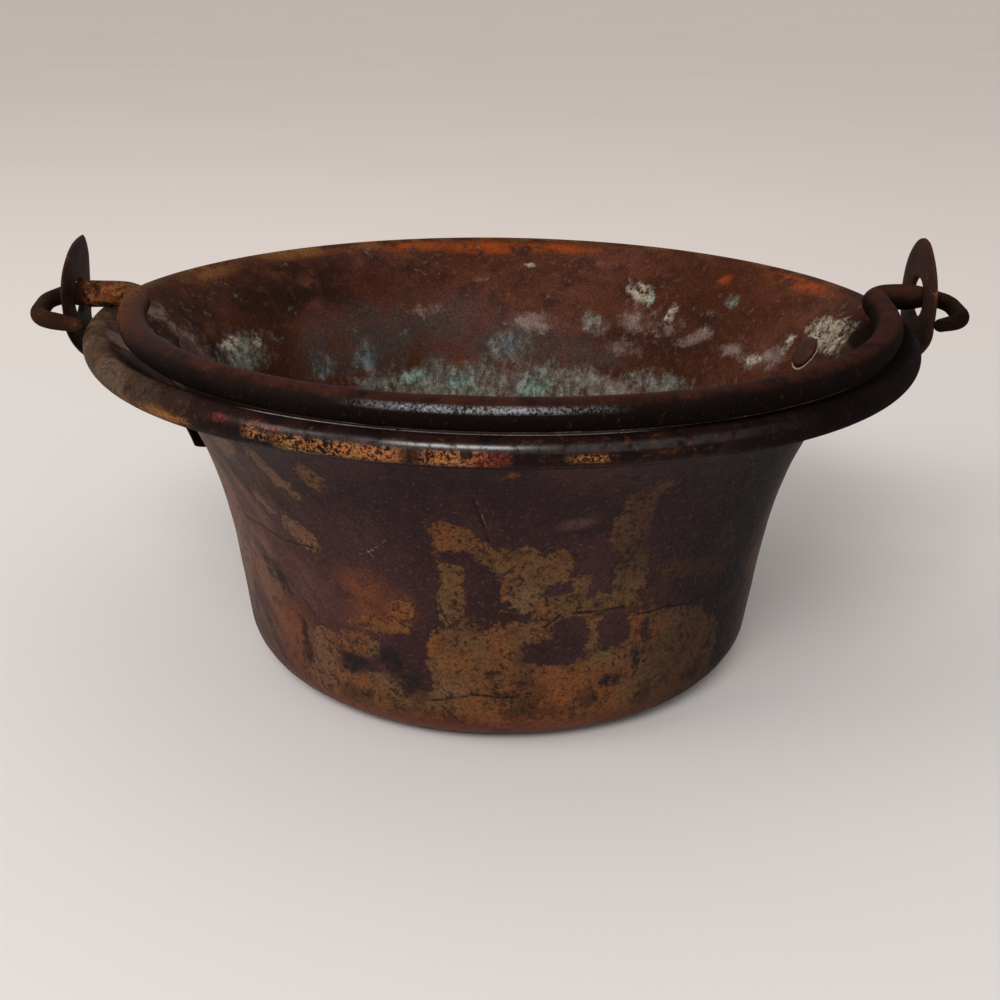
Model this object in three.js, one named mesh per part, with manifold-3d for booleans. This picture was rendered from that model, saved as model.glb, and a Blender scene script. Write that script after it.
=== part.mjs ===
// A small hand-hammered copper cauldron with two riveted iron ears and a swinging iron bail.
// Millimetres, +Z up. The origin is the middle of the flat base, and the ears stand at -X and +X.
import * as THREE from 'three';
import { mergeVertices } from 'three/addons/utils/BufferGeometryUtils.js';
import Module from 'manifold-3d';

const wasm = await Module();
wasm.setup();

const degrees = THREE.MathUtils.degToRad;

// Clearance between pieces that touch on the real object.
const FIT_GAP = 0.3;
// How far a cut runs past the piece that it cuts.
const OVERCUT = 1;

// Copper vessel.
const LIP_RADIUS = 130;
const VESSEL_HEIGHT = 113;
const SHEET = 1.2;
const BASE_FLAT_RADIUS = 68.5;
const BASE_CORNER_RADIUS = 16.5;
const WALL_LEAN = degrees(7.3);
const STRAIGHT_WALL_TOP = 37;
const FLARE_SLOPE = degrees(30.7);
const FLARE_PULL_BELOW = 32;
const FLARE_PULL_ABOVE = 26;
const RIM_WIRE_RADIUS = 2.8;
const RIM_WRAP = degrees(288);

// Iron ears. Heights are measured down from the top of the lip.
const EAR_THICKNESS = 2;
const EAR_STANDOFF = 4;
const LEAF_WIDTH = 33;
const LEAF_RISE = 19;
const LEAF_ROUNDING = 9.5;
const LEAF_POINT_ROUNDING = 7;
const EYE_CLEARANCE = 1.9;
const NECK_WIDTH = 26;
const NECK_DROP = 8.5;
const SHIELD_WIDTH = 45;
const SHIELD_ROUNDING = 7;
const SHIELD_END_RADIUS = 10;
const SHIELD_END_DROP = 45;
const FOOT_TOP_DROP = 13;
const BEND_TOP_DROP = 4;
const BEND_PULL_AT_WALL = 6;
const BEND_PULL_AT_LEAF = 14;

// Rivets: an upper pair and a lower one in each ear.
const RIVET_SHANK_RADIUS = 2.3;
const RIVET_HEAD_RADIUS = 6;
const RIVET_HEAD_HEIGHT = 1.9;
const RIVET_FROM_SHIELD_SIDE = 7;
const RIVET_PAIR_DROP = 18.7;
const RIVET_FROM_SHIELD_END = 9;

// Iron bail.
const BAIL_RADIUS = 4.3;
const BAIL_TIP_RADIUS = 2.7;
const BAIL_INSET_AT_EARS = 14;
const BAIL_INSET_AT_FRONT = 5;
const SHOULDER_LENGTH = 11;
const HOOK_STANDOFF = 4.3;
const HOOK_BEND_RADIUS = 9;
const HOOK_LEAF_CLEARANCE = 2.8;
const HOOK_LEG_LENGTH = 11;
const HOOK_OPENING = degrees(25);
const HOOK_DROOP = degrees(7);

// Facets.
const TURN_FACETS = 64;
const CORNER_STEPS = 5;
const FLARE_STEPS = 8;
const CURL_STEPS = 10;
const WIRE_SIDES = 8;
const ROD_SIDES = 12;
const BOW_STEPS = 14;
const ROD_BEND_STEPS = 5;
const FOOT_STEPS = 5;
const BEND_STEPS = 7;
const EAR_STEPS_ACROSS = 8;
const LEAF_STEPS = 5;
const EYE_SIDES = 24;
const RIVET_SIDES = 12;
const DOME_STEPS = 3;
const HALVINGS = 40;

// Values worked out from the sizes above.
const CURL_RADIUS = RIM_WIRE_RADIUS + FIT_GAP + SHEET / 2;
const BEAD_RADIUS = CURL_RADIUS + SHEET / 2;
const WIRE_RING_RADIUS = LIP_RADIUS - BEAD_RADIUS;
const WIRE_HEIGHT = VESSEL_HEIGHT - BEAD_RADIUS;
const HINGE_HEIGHT = VESSEL_HEIGHT + FIT_GAP + BAIL_RADIUS;
const LEAF_MIDDLE = LIP_RADIUS + EAR_STANDOFF + EAR_THICKNESS / 2;
const LEAF_TOP = HINGE_HEIGHT + LEAF_RISE;
const EYE_RADIUS = BAIL_RADIUS + EYE_CLEARANCE;
const FOOT_TOP = VESSEL_HEIGHT - FOOT_TOP_DROP;
const BEND_TOP = VESSEL_HEIGHT - BEND_TOP_DROP;
const SHIELD_END = VESSEL_HEIGHT - SHIELD_END_DROP;
const FOOT_OFFSET = SHEET / 2 + FIT_GAP + EAR_THICKNESS / 2;
const RIVET_HOLE_RADIUS = RIVET_SHANK_RADIUS + FIT_GAP;
const RIVET_PAIR_SPACING = SHIELD_WIDTH - 2 * RIVET_FROM_SHIELD_SIDE;
const LOWER_RIVET_HEIGHT = SHIELD_END + RIVET_FROM_SHIELD_END;
const BAIL_HALF_SPAN = LIP_RADIUS - BAIL_INSET_AT_EARS;
const BAIL_REACH = LIP_RADIUS - BAIL_INSET_AT_FRONT;
const HOOK_REACH = LEAF_RISE + HOOK_LEAF_CLEARANCE + BAIL_TIP_RADIUS;
const HOOK_OUTER = LEAF_MIDDLE + EAR_THICKNESS / 2 + HOOK_STANDOFF + BAIL_TIP_RADIUS;

const copper = new THREE.MeshStandardMaterial({ color: 0x5d3a2b, roughness: 0.5, metalness: 0.85 });
const iron = new THREE.MeshStandardMaterial({ color: 0x2a211d, roughness: 0.65, metalness: 0.7 });

// Makes a closed solid of a geometry: shared corners are merged and collapsed triangles dropped.
function solidOf(geometry) {
  geometry.deleteAttribute('normal');
  geometry.deleteAttribute('uv');
  const merged = mergeVertices(geometry, 1e-4);
  const corners = merged.index.array;
  const kept = [];
  for (let i = 0; i < corners.length; i += 3) {
    const [a, b, c] = corners.slice(i, i + 3);
    if (a !== b && b !== c && c !== a) kept.push(a, b, c);
  }
  const vertProperties = Float32Array.from(merged.attributes.position.array);
  return new wasm.Manifold(new wasm.Mesh({ numProp: 3, vertProperties, triVerts: Uint32Array.from(kept) }));
}

function geometryOf(solid) {
  const mesh = solid.getMesh();
  const geometry = new THREE.BufferGeometry();
  geometry.setAttribute('position', new THREE.BufferAttribute(mesh.vertProperties, 3));
  geometry.setIndex(new THREE.BufferAttribute(mesh.triVerts, 1));
  geometry.computeVertexNormals();
  return geometry;
}

function piece(name, solid, material) {
  const mesh = new THREE.Mesh(geometryOf(solid), material);
  mesh.name = name;
  return mesh;
}

// Turns a profile of (radius, height) points about the Z axis.
function turned(profile, facets) {
  return new THREE.LatheGeometry(profile, facets).rotateX(Math.PI / 2);
}

// Thickens a line of 2D points to a closed outline, half the thickness on each side.
function thickened(line, thickness) {
  const side = (sign) => line.map((point, i) => {
    const before = line[Math.max(i - 1, 0)];
    const after = line[Math.min(i + 1, line.length - 1)];
    const along = after.clone().sub(before).normalize();
    const across = new THREE.Vector2(along.y, -along.x);
    return point.clone().addScaledVector(across, sign * thickness / 2);
  });
  return [...side(1), ...side(-1).reverse()];
}

// The middle of the sheet in the flare, from the straight wall to the wire in the rim.
function flareCurve() {
  const middleCorner = BASE_CORNER_RADIUS - SHEET / 2;
  const up = new THREE.Vector2(Math.sin(WALL_LEAN), Math.cos(WALL_LEAN));
  const outward = new THREE.Vector2(Math.cos(FLARE_SLOPE), Math.sin(FLARE_SLOPE));
  const cornerEnd = new THREE.Vector2(
    BASE_FLAT_RADIUS + middleCorner * Math.cos(WALL_LEAN),
    BASE_CORNER_RADIUS - middleCorner * Math.sin(WALL_LEAN),
  );
  const start = cornerEnd.clone().addScaledVector(up, (STRAIGHT_WALL_TOP - cornerEnd.y) / up.y);
  const end = new THREE.Vector2(
    WIRE_RING_RADIUS - CURL_RADIUS * Math.sin(FLARE_SLOPE),
    WIRE_HEIGHT + CURL_RADIUS * Math.cos(FLARE_SLOPE),
  );
  return new THREE.CubicBezierCurve(
    start,
    start.clone().addScaledVector(up, FLARE_PULL_BELOW),
    end.clone().addScaledVector(outward, -FLARE_PULL_ABOVE),
    end,
  );
}

const flare = flareCurve();

// A point on the middle of the wall at a height, with the wall's direction and its outward side there.
function wallAt(height) {
  if (height < flare.v0.y) {
    const along = flare.getTangent(0);
    const point = flare.v0.clone().addScaledVector(along, (height - flare.v0.y) / along.y);
    return { point, along, outward: new THREE.Vector2(along.y, -along.x) };
  }
  let low = 0;
  let high = 1;
  for (let i = 0; i < HALVINGS; i += 1) {
    const middle = (low + high) / 2;
    if (flare.getPoint(middle).y < height) low = middle;
    else high = middle;
  }
  const along = flare.getTangent(low);
  return { point: flare.getPoint(low), along, outward: new THREE.Vector2(along.y, -along.x) };
}

// The sheet runs from the middle of the base, round the corner and up the wall, then over the wire.
function vesselMiddleLine() {
  const corner = new THREE.EllipseCurve(
    BASE_FLAT_RADIUS, BASE_CORNER_RADIUS,
    BASE_CORNER_RADIUS - SHEET / 2, BASE_CORNER_RADIUS - SHEET / 2,
    -Math.PI / 2, -WALL_LEAN,
  );
  const curlStart = Math.PI / 2 + FLARE_SLOPE;
  const curl = new THREE.EllipseCurve(
    WIRE_RING_RADIUS, WIRE_HEIGHT, CURL_RADIUS, CURL_RADIUS, curlStart, curlStart - RIM_WRAP, true,
  );
  return [
    new THREE.Vector2(0, SHEET / 2),
    ...corner.getPoints(CORNER_STEPS),
    ...flare.getPoints(FLARE_STEPS),
    ...curl.getPoints(CURL_STEPS).slice(1),
  ];
}

// Rivets stand square to the wall: a pair beside each other, and one below them in the middle.
function rivetPlaces() {
  const pair = wallAt(VESSEL_HEIGHT - RIVET_PAIR_DROP);
  const turn = Math.asin(RIVET_PAIR_SPACING / 2 / pair.point.x);
  return [
    { name: 'front_rivet', seat: pair, turn: -turn },
    { name: 'back_rivet', seat: pair, turn },
    { name: 'lower_rivet', seat: wallAt(LOWER_RIVET_HEIGHT), turn: 0 },
  ];
}

// Sets a geometry whose axis is +Y square on the wall, turned about Z from +X.
function placedOnWall(geometry, { seat, turn }) {
  const outward = new THREE.Vector3(seat.outward.x, 0, seat.outward.y);
  const tilt = new THREE.Quaternion().setFromUnitVectors(new THREE.Vector3(0, 1, 0), outward);
  return geometry.applyQuaternion(tilt).translate(seat.point.x, 0, seat.point.y).rotateZ(turn);
}

function rivetHole(place) {
  const length = 2 * (FOOT_OFFSET + EAR_THICKNESS / 2 + OVERCUT);
  return solidOf(placedOnWall(
    new THREE.CylinderGeometry(RIVET_HOLE_RADIUS, RIVET_HOLE_RADIUS, length, RIVET_SIDES), place,
  ));
}

// A domed head, from its edge to its middle, standing on a seat along the rivet's axis.
function domeLine(seat, direction) {
  const dome = new THREE.EllipseCurve(0, 0, RIVET_HEAD_RADIUS, RIVET_HEAD_HEIGHT, 0, Math.PI / 2);
  const points = dome.getPoints(DOME_STEPS).map((p) => new THREE.Vector2(p.x, seat + direction * p.y));
  points[DOME_STEPS].x = 0;
  return points;
}

// How far the flare curves out from a seat within the reach of a rivet's head.
function flareHollow(seat) {
  const rises = [-1, 1].map((way) => {
    const edge = wallAt(seat.point.y + way * RIVET_HEAD_RADIUS * seat.along.y);
    return edge.point.sub(seat.point).dot(seat.outward);
  });
  return Math.max(0, ...rises);
}

// The heads leave room for the hollows under their edges: the round wall inside, the flare outside.
function rivet(place) {
  const roundHollow = RIVET_HEAD_RADIUS ** 2 / (2 * place.seat.point.x);
  const innerSeat = -(SHEET / 2 + FIT_GAP + roundHollow);
  const outerSeat = FOOT_OFFSET + EAR_THICKNESS / 2 + FIT_GAP + flareHollow(place.seat);
  const profile = [
    ...domeLine(innerSeat, -1).reverse(),
    new THREE.Vector2(RIVET_SHANK_RADIUS, innerSeat),
    new THREE.Vector2(RIVET_SHANK_RADIUS, outerSeat),
    ...domeLine(outerSeat, 1),
  ];
  return solidOf(placedOnWall(new THREE.LatheGeometry(profile, RIVET_SIDES), place));
}

function vessel(holes) {
  let solid = solidOf(turned(thickened(vesselMiddleLine(), SHEET), TURN_FACETS));
  for (const hole of holes) {
    solid = solid.subtract(hole).subtract(hole.mirror([1, 0, 0]));
  }
  return solid;
}

function rimWire() {
  const section = new THREE.EllipseCurve(WIRE_RING_RADIUS, WIRE_HEIGHT, RIM_WIRE_RADIUS, RIM_WIRE_RADIUS);
  return solidOf(turned(section.getPoints(WIRE_SIDES), TURN_FACETS));
}

// Seen from the side, an ear is a bent plate: its foot on the flare, out under the lip, then upright.
function earSideLine() {
  const foot = [];
  for (let i = 0; i <= FOOT_STEPS; i += 1) {
    const seat = wallAt(THREE.MathUtils.lerp(SHIELD_END - OVERCUT, FOOT_TOP, i / FOOT_STEPS));
    foot.push(seat.point.clone().addScaledVector(seat.outward, FOOT_OFFSET));
  }
  const footTop = foot[FOOT_STEPS];
  const bendTop = new THREE.Vector2(LEAF_MIDDLE, BEND_TOP);
  const bend = new THREE.CubicBezierCurve(
    footTop,
    footTop.clone().addScaledVector(wallAt(FOOT_TOP).along, BEND_PULL_AT_WALL),
    new THREE.Vector2(LEAF_MIDDLE, BEND_TOP - BEND_PULL_AT_LEAF),
    bendTop,
  );
  const upright = new THREE.Vector2(LEAF_MIDDLE, LEAF_TOP + OVERCUT);
  return [...foot, ...bend.getPoints(BEND_STEPS).slice(1), upright];
}

// Rounds the plate across so that its foot lies on the round wall, while the leaf stays flat.
function roundedToWall(geometry) {
  const places = geometry.attributes.position;
  for (let i = 0; i < places.count; i += 1) {
    const x = places.getX(i);
    const onWall = Math.sqrt(x ** 2 - places.getY(i) ** 2);
    const flatness = THREE.MathUtils.smoothstep(places.getZ(i), FOOT_TOP, BEND_TOP);
    places.setX(i, THREE.MathUtils.lerp(onWall, x, flatness));
  }
  return geometry;
}

// Seen from the end, an ear is a leaf with a rounded point, a neck, and a shield with a round end.
function earOutline() {
  const leaf = LEAF_WIDTH / 2;
  const neck = NECK_WIDTH / 2;
  const shield = SHIELD_WIDTH / 2;
  const neckHeight = VESSEL_HEIGHT - NECK_DROP;
  const shieldHeight = VESSEL_HEIGHT - RIVET_PAIR_DROP;
  const endHeight = SHIELD_END + SHIELD_END_RADIUS;
  const outline = new THREE.Shape();
  outline.absarc(0, endHeight, SHIELD_END_RADIUS, Math.PI, 2 * Math.PI, false);
  for (const side of [1, -1]) {
    const stops = [
      [SHIELD_END_RADIUS, endHeight, SHIELD_ROUNDING],
      [shield, shieldHeight, SHIELD_ROUNDING],
      [neck, neckHeight, NECK_DROP / 2],
      [leaf, HINGE_HEIGHT, LEAF_ROUNDING],
    ];
    const order = side > 0 ? stops : stops.reverse();
    order.slice(1).forEach(([y, z, pull], i) => {
      const [yBefore, zBefore, pullBefore] = order[i];
      const [from, to] = [zBefore + side * pullBefore, z - side * pull];
      outline.bezierCurveTo(side * yBefore, from, side * y, to, side * y, z);
    });
    if (side > 0) {
      const above = HINGE_HEIGHT + LEAF_ROUNDING;
      outline.bezierCurveTo(leaf, above, LEAF_POINT_ROUNDING, LEAF_TOP, 0, LEAF_TOP);
      outline.bezierCurveTo(-LEAF_POINT_ROUNDING, LEAF_TOP, -leaf, above, -leaf, HINGE_HEIGHT);
    }
  }
  return outline;
}

function ear(holes) {
  const width = SHIELD_WIDTH + 2 * OVERCUT;
  const plate = new THREE.ExtrudeGeometry(new THREE.Shape(thickened(earSideLine(), EAR_THICKNESS)), {
    depth: width, steps: EAR_STEPS_ACROSS, bevelEnabled: false,
  }).rotateX(Math.PI / 2).translate(0, width / 2, 0);
  const front = new THREE.ExtrudeGeometry(earOutline(), {
    depth: LEAF_MIDDLE + EAR_THICKNESS, bevelEnabled: false, curveSegments: LEAF_STEPS,
  }).rotateX(Math.PI / 2).rotateZ(Math.PI / 2);
  const eyeLength = EAR_THICKNESS + 2 * OVERCUT;
  const eye = new THREE.CylinderGeometry(EYE_RADIUS, EYE_RADIUS, eyeLength, EYE_SIDES)
    .rotateZ(Math.PI / 2).translate(LEAF_MIDDLE, 0, HINGE_HEIGHT);
  let solid = solidOf(roundedToWall(plate)).intersect(solidOf(front)).subtract(solidOf(eye));
  for (const hole of holes) {
    solid = solid.subtract(hole);
  }
  return solid;
}

// Half of the bail's middle line as (across, reach) from the hinge axis, from the front to the hook.
function bowLine() {
  const shoulderAngle = Math.acos(SHOULDER_LENGTH / BAIL_REACH);
  const points = [];
  for (let i = 0; i <= BOW_STEPS; i += 1) {
    const angle = shoulderAngle * i / BOW_STEPS;
    points.push(new THREE.Vector2(BAIL_HALF_SPAN * Math.sin(angle), BAIL_REACH * Math.cos(angle)));
  }
  const start = points[BOW_STEPS];
  const spread = BAIL_HALF_SPAN * Math.cos(shoulderAngle) / (BAIL_REACH * Math.sin(shoulderAngle));
  const corner = new THREE.Vector2(start.x + spread * start.y, 0);
  const end = new THREE.Vector2(corner.x + SHOULDER_LENGTH, 0);
  const shoulder = new THREE.QuadraticBezierCurve(start, corner, end);
  return [...points, ...shoulder.getPoints(ROD_BEND_STEPS).slice(1)];
}

// A hook goes out through the eye, forward along the leaf and back towards the lip, opening a little.
function hookLine() {
  const bendX = HOOK_OUTER - HOOK_BEND_RADIUS;
  const backTurn = Math.PI / 2 - HOOK_OPENING;
  const outBend = new THREE.EllipseCurve(
    bendX, HOOK_BEND_RADIUS, HOOK_BEND_RADIUS, HOOK_BEND_RADIUS, -Math.PI / 2, 0,
  );
  const backBend = new THREE.EllipseCurve(
    bendX, HOOK_REACH - HOOK_BEND_RADIUS, HOOK_BEND_RADIUS, HOOK_BEND_RADIUS, 0, backTurn,
  );
  const leg = new THREE.Vector2(-Math.sin(backTurn), Math.cos(backTurn));
  return [
    ...outBend.getPoints(ROD_BEND_STEPS),
    ...backBend.getPoints(ROD_BEND_STEPS),
    backBend.getPoint(1).addScaledVector(leg, HOOK_LEG_LENGTH),
  ];
}

// The hooks droop a little below the plane of the bow.
function bailMiddleLine() {
  const bow = bowLine().map((p) => ({
    place: new THREE.Vector3(p.x, -p.y, 0), radius: BAIL_RADIUS,
  }));
  const hook = hookLine().map((p) => ({
    place: new THREE.Vector3(p.x, -p.y * Math.cos(HOOK_DROOP), -p.y * Math.sin(HOOK_DROOP)),
    radius: BAIL_TIP_RADIUS,
  }));
  const right = [...bow, ...hook];
  const left = right.slice(1).reverse().map((p) => ({
    place: p.place.clone().multiply(new THREE.Vector3(-1, 1, 1)), radius: p.radius,
  }));
  return [...left, ...right];
}

// A round rod along a line of points, each with its own radius, closed by a low point at each end.
function rod(line) {
  const count = line.length;
  const tangent = (i) => line[Math.min(i + 1, count - 1)].place.clone()
    .sub(line[Math.max(i - 1, 0)].place).normalize();
  const positions = [];
  let across = new THREE.Vector3(0, 0, 1);
  line.forEach(({ place, radius }, i) => {
    const along = tangent(i);
    across = across.addScaledVector(along, -across.dot(along)).normalize();
    const beside = along.clone().cross(across);
    for (let k = 0; k < ROD_SIDES; k += 1) {
      const turn = 2 * Math.PI * k / ROD_SIDES;
      const corner = place.clone()
        .addScaledVector(across, radius * Math.cos(turn))
        .addScaledVector(beside, radius * Math.sin(turn));
      positions.push(...corner.toArray());
    }
  });
  const last = count - 1;
  const tipLength = line[0].radius / 2;
  positions.push(...line[0].place.clone().addScaledVector(tangent(0), -tipLength).toArray());
  positions.push(...line[last].place.clone().addScaledVector(tangent(last), tipLength).toArray());
  const firstTip = count * ROD_SIDES;
  const lastTip = firstTip + 1;
  const triangles = [];
  for (let k = 0; k < ROD_SIDES; k += 1) {
    const next = (k + 1) % ROD_SIDES;
    for (let i = 0; i < last; i += 1) {
      const ring = i * ROD_SIDES;
      const ahead = ring + ROD_SIDES;
      triangles.push(ring + k, ring + next, ahead + next, ring + k, ahead + next, ahead + k);
    }
    triangles.push(firstTip, next, k);
    triangles.push(lastTip, last * ROD_SIDES + k, last * ROD_SIDES + next);
  }
  const geometry = new THREE.BufferGeometry();
  geometry.setAttribute('position', new THREE.Float32BufferAttribute(positions, 3));
  geometry.setIndex(triangles);
  return solidOf(geometry);
}

const places = rivetPlaces();
const holes = places.map(rivetHole);
const cauldron = new THREE.Group();
cauldron.add(piece('copper_vessel', vessel(holes), copper));
cauldron.add(piece('rim_wire', rimWire(), iron));

const earSolid = ear(holes);
for (const [side, facing] of [['left', -1], ['right', 1]]) {
  const facingSide = (solid) => (facing > 0 ? solid : solid.mirror([1, 0, 0]));
  cauldron.add(piece(`${side}_ear`, facingSide(earSolid), iron));
  for (const place of places) {
    cauldron.add(piece(`${side}_ear_${place.name}`, facingSide(rivet(place)), copper));
  }
}

const bail = new THREE.Group();
bail.position.z = HINGE_HEIGHT;
bail.add(piece('bail', rod(bailMiddleLine()), iron));
cauldron.add(bail);

export default cauldron;
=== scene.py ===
# %% [markdown]
# # A copper cauldron with an iron bail
# The real cauldron is one sheet of copper, raised with a hammer into a pot with a wide lip. Two forged
# iron ears are riveted under the lip, and an iron rod swings in their eyes. The frame holds every solid
# at its real size, so this lesson only makes the skins and the finishes. It keeps the frame's box,
# because the finished pieces have to stay inside it.

# %% Load the frame
import math

import bpy
import numpy as np
from mathutils import Matrix, Vector, noise


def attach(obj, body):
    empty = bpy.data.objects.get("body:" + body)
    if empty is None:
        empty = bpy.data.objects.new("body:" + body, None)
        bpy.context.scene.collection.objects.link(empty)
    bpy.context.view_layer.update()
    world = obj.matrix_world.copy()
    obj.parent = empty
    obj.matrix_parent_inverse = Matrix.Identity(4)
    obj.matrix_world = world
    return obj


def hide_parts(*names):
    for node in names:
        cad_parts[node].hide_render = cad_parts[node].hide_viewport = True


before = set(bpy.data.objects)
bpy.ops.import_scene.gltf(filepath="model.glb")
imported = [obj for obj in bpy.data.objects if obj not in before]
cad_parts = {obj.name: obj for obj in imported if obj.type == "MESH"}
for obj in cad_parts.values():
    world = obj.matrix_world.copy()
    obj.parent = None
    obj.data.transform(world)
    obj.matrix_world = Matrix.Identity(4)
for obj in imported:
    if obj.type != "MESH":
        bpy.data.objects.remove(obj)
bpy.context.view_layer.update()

MM = 0.001

# %% [markdown]
# ## A piece from points and faces
# Every piece here is a mesh worked out point by point in millimetres. It could be modelled by hand with
# extrude and scale, but points from formulas follow the measured sizes exactly and are easy to change.
# One helper turns points into an object, and a second one shades it smooth and says what it rides on and
# which solid it stands for.


# %% Piece helper
def make_object(name, points, faces):
    mesh = bpy.data.meshes.new(name)
    mesh.from_pydata((np.asarray(points, float) * MM).tolist(), [], faces)
    made = bpy.data.objects.new(name, mesh)
    bpy.context.scene.collection.objects.link(made)
    return made


def make_piece(name, points, faces, body, node):
    piece = make_object(name, points, faces)
    piece.data.shade_smooth()
    piece.data.update()
    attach(piece, body)
    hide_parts(node)
    print(name, len(points), "points,", len(faces), "faces")
    return piece


# %% [markdown]
# ## The line of the copper sheet
# Cut the pot through its middle and the sheet is one thin line: flat base, round corner, leaning wall, a
# flare, and a curl over the rim wire. A Bezier curve gives the flare the slack S that a hammer leaves.
# The line is the middle of the sheet, so the same line later carries the rivets and the feet of the ears.

# %% Sizes of the sheet, in millimetres
LIP_RADIUS, LIP_HEIGHT, SHEET = 130, 113, 1.2
BASE_FLAT_RADIUS, BASE_CORNER_RADIUS = 68.5, 16.5
WALL_LEAN, FLARE_SLOPE, RIM_WRAP = math.radians(7.3), math.radians(30.7), math.radians(288)
STRAIGHT_WALL_TOP, FLARE_PULL_BELOW, FLARE_PULL_ABOVE = 37, 32, 26
RIM_WIRE_RADIUS, FIT_GAP, INNERMOST_RING = 2.8, 0.3, 4
CURL_RADIUS = RIM_WIRE_RADIUS + FIT_GAP + SHEET / 2
BEAD_RADIUS = CURL_RADIUS + SHEET / 2
WIRE_CENTRE = np.array([LIP_RADIUS - BEAD_RADIUS, LIP_HEIGHT - BEAD_RADIUS])


# %% Curves
def bezier(controls, steps):
    """Points along a Bezier curve, found by sliding between its control points again and again."""
    t = np.linspace(0, 1, steps)[:, None]
    line = [np.asarray(control, float) + 0 * t for control in controls]
    while len(line) > 1:
        line = [a + (b - a) * t for a, b in zip(line, line[1:])]
    return line[0]


def arc(centre, radius, start, end, steps):
    turn = np.linspace(start, end, steps)
    return np.stack([centre[0] + radius * np.cos(turn), centre[1] + radius * np.sin(turn)], 1)


def way_along(line):
    """The direction along a line at each of its points."""
    along = np.gradient(line, axis=0)
    return along / np.linalg.norm(along, axis=1)[:, None]


def directions(line):
    """The direction along a flat line and the one square to it, on its right hand, at each point."""
    along = way_along(line)
    return along, np.stack([along[:, 1], -along[:, 0]], 1)


def run_along(line):
    """The length of a line up to each of its points."""
    return np.concatenate([[0], np.cumsum(np.linalg.norm(np.diff(line, axis=0), axis=1))])


# %% Middle line of the sheet
up_the_wall = np.array([math.sin(WALL_LEAN), math.cos(WALL_LEAN)])
up_the_flare = np.array([math.cos(FLARE_SLOPE), math.sin(FLARE_SLOPE)])
corner_centre = (BASE_FLAT_RADIUS, BASE_CORNER_RADIUS)
corner = arc(corner_centre, BASE_CORNER_RADIUS - SHEET / 2, -math.pi / 2, -WALL_LEAN, 14)
base = np.linspace((INNERMOST_RING, SHEET / 2), corner[0], 10)
wall_top = corner[-1] + up_the_wall * (STRAIGHT_WALL_TOP - corner[-1][1]) / up_the_wall[1]
wall = np.linspace(corner[-1], wall_top, 16)
curl_start = math.pi / 2 + FLARE_SLOPE
curl = arc(WIRE_CENTRE, CURL_RADIUS, curl_start, curl_start - RIM_WRAP, 44)
pull_below = wall_top + FLARE_PULL_BELOW * up_the_wall
pull_above = curl[0] - FLARE_PULL_ABOVE * up_the_flare
flare = bezier([wall_top, pull_below, pull_above, curl[0]], 64)
sheet_line = np.vstack([base, corner[1:], wall[1:], flare[1:], curl[1:]])
sheet_along, sheet_outward = directions(sheet_line)
crest = len(sheet_line) - len(curl) + int(np.argmax(curl[:, 1]))
run = run_along(sheet_line)
past_crest = run - run[crest]
print("sheet line:", len(sheet_line), "points,", round(run[-1], 1), "mm long")

# %% [markdown]
# ## The copper pot
# A lathe would turn this line into a perfect pot, and the eye would see at once that no hand made it. So
# the line is turned in code, point by point, and each point moves a little: shallow cups where the
# planishing hammer struck, a slow unevenness in the wall, and a lip that is slightly out of round. All
# this goes inwards and down, so the pot stays inside its box and the bail still clears the lip. Only the
# roll of the lip swells by 0.3 mm on both sides of the front, where the real one looks fuller.

# %% Hammer marks and unevenness
TURNS = 360
DENT_SPACING, DENT_DEPTH, CUP_REACH = 12, 0.11, 0.75
SLACK_SPACING, SLACK_DEPTH = 55, 0.45
LIP_SQUASH, LIP_SAG, LIP_SWELL, LIP_CLEARANCE = 0.7, 0.4, 0.3, 0.05
STRIKES_END_BEFORE_CREST, LIP_HEIGHTS, BEHIND_TURNS = (6, 24), (62, 106), (1.6, 2.2)
turn = np.linspace(-math.pi, math.pi, TURNS, endpoint=False)


def smooth_step(value, low, high):
    t = np.clip((value - low) / (high - low), 0, 1)
    return t * t * (3 - 2 * t)


def hammered(place):
    """How far the sheet is struck inwards at a place, in millimetres: nothing or less."""
    nearest = noise.voronoi(place / DENT_SPACING)[0][0]
    cup = min(1, (nearest / CUP_REACH) ** 2) - 1
    slack = 0.5 * noise.noise(place / SLACK_SPACING) - 0.5
    return DENT_DEPTH * cup + SLACK_DEPTH * slack


strikes = np.zeros((len(sheet_line), TURNS))
for row, (radius, height) in enumerate(sheet_line[: -len(curl) + 1]):
    for column, angle in enumerate(turn):
        place = Vector((radius * math.sin(angle), -radius * math.cos(angle), height))
        strikes[row, column] = hammered(place)
strikes *= smooth_step(-past_crest, *STRIKES_END_BEFORE_CREST)[:, None]
lip_share = smooth_step(sheet_line[:, 1], *LIP_HEIGHTS)[:, None]
behind = smooth_step(np.abs(turn), *BEHIND_TURNS)
squash = -lip_share * (LIP_CLEARANCE + LIP_SQUASH * behind * np.sin(2 * turn) ** 2)
sag = -lip_share * LIP_SAG * np.clip(np.sin(turn + 0.5), 0, 1) ** 2
swell = LIP_SWELL * smooth_step(past_crest, -6, 0)[:, None] * np.sin(2 * turn) ** 2 * (1 - behind)
print("deepest mark", round(-strikes.min(), 2), "mm, lip out of round by", round(-squash.min(), 2), "mm")


# %% Faces between rings of points
def ring_faces(rings, sides, first=0, step=None):
    """Quads between rings that each close on themselves and whose points are a step apart."""
    step = step or sides
    faces = []
    for ring in range(rings - 1):
        for side in range(sides):
            a = first + ring * step + side
            b = first + ring * step + (side + 1) % sides
            faces.append((a, b, b + step, a + step))
    return faces


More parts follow.
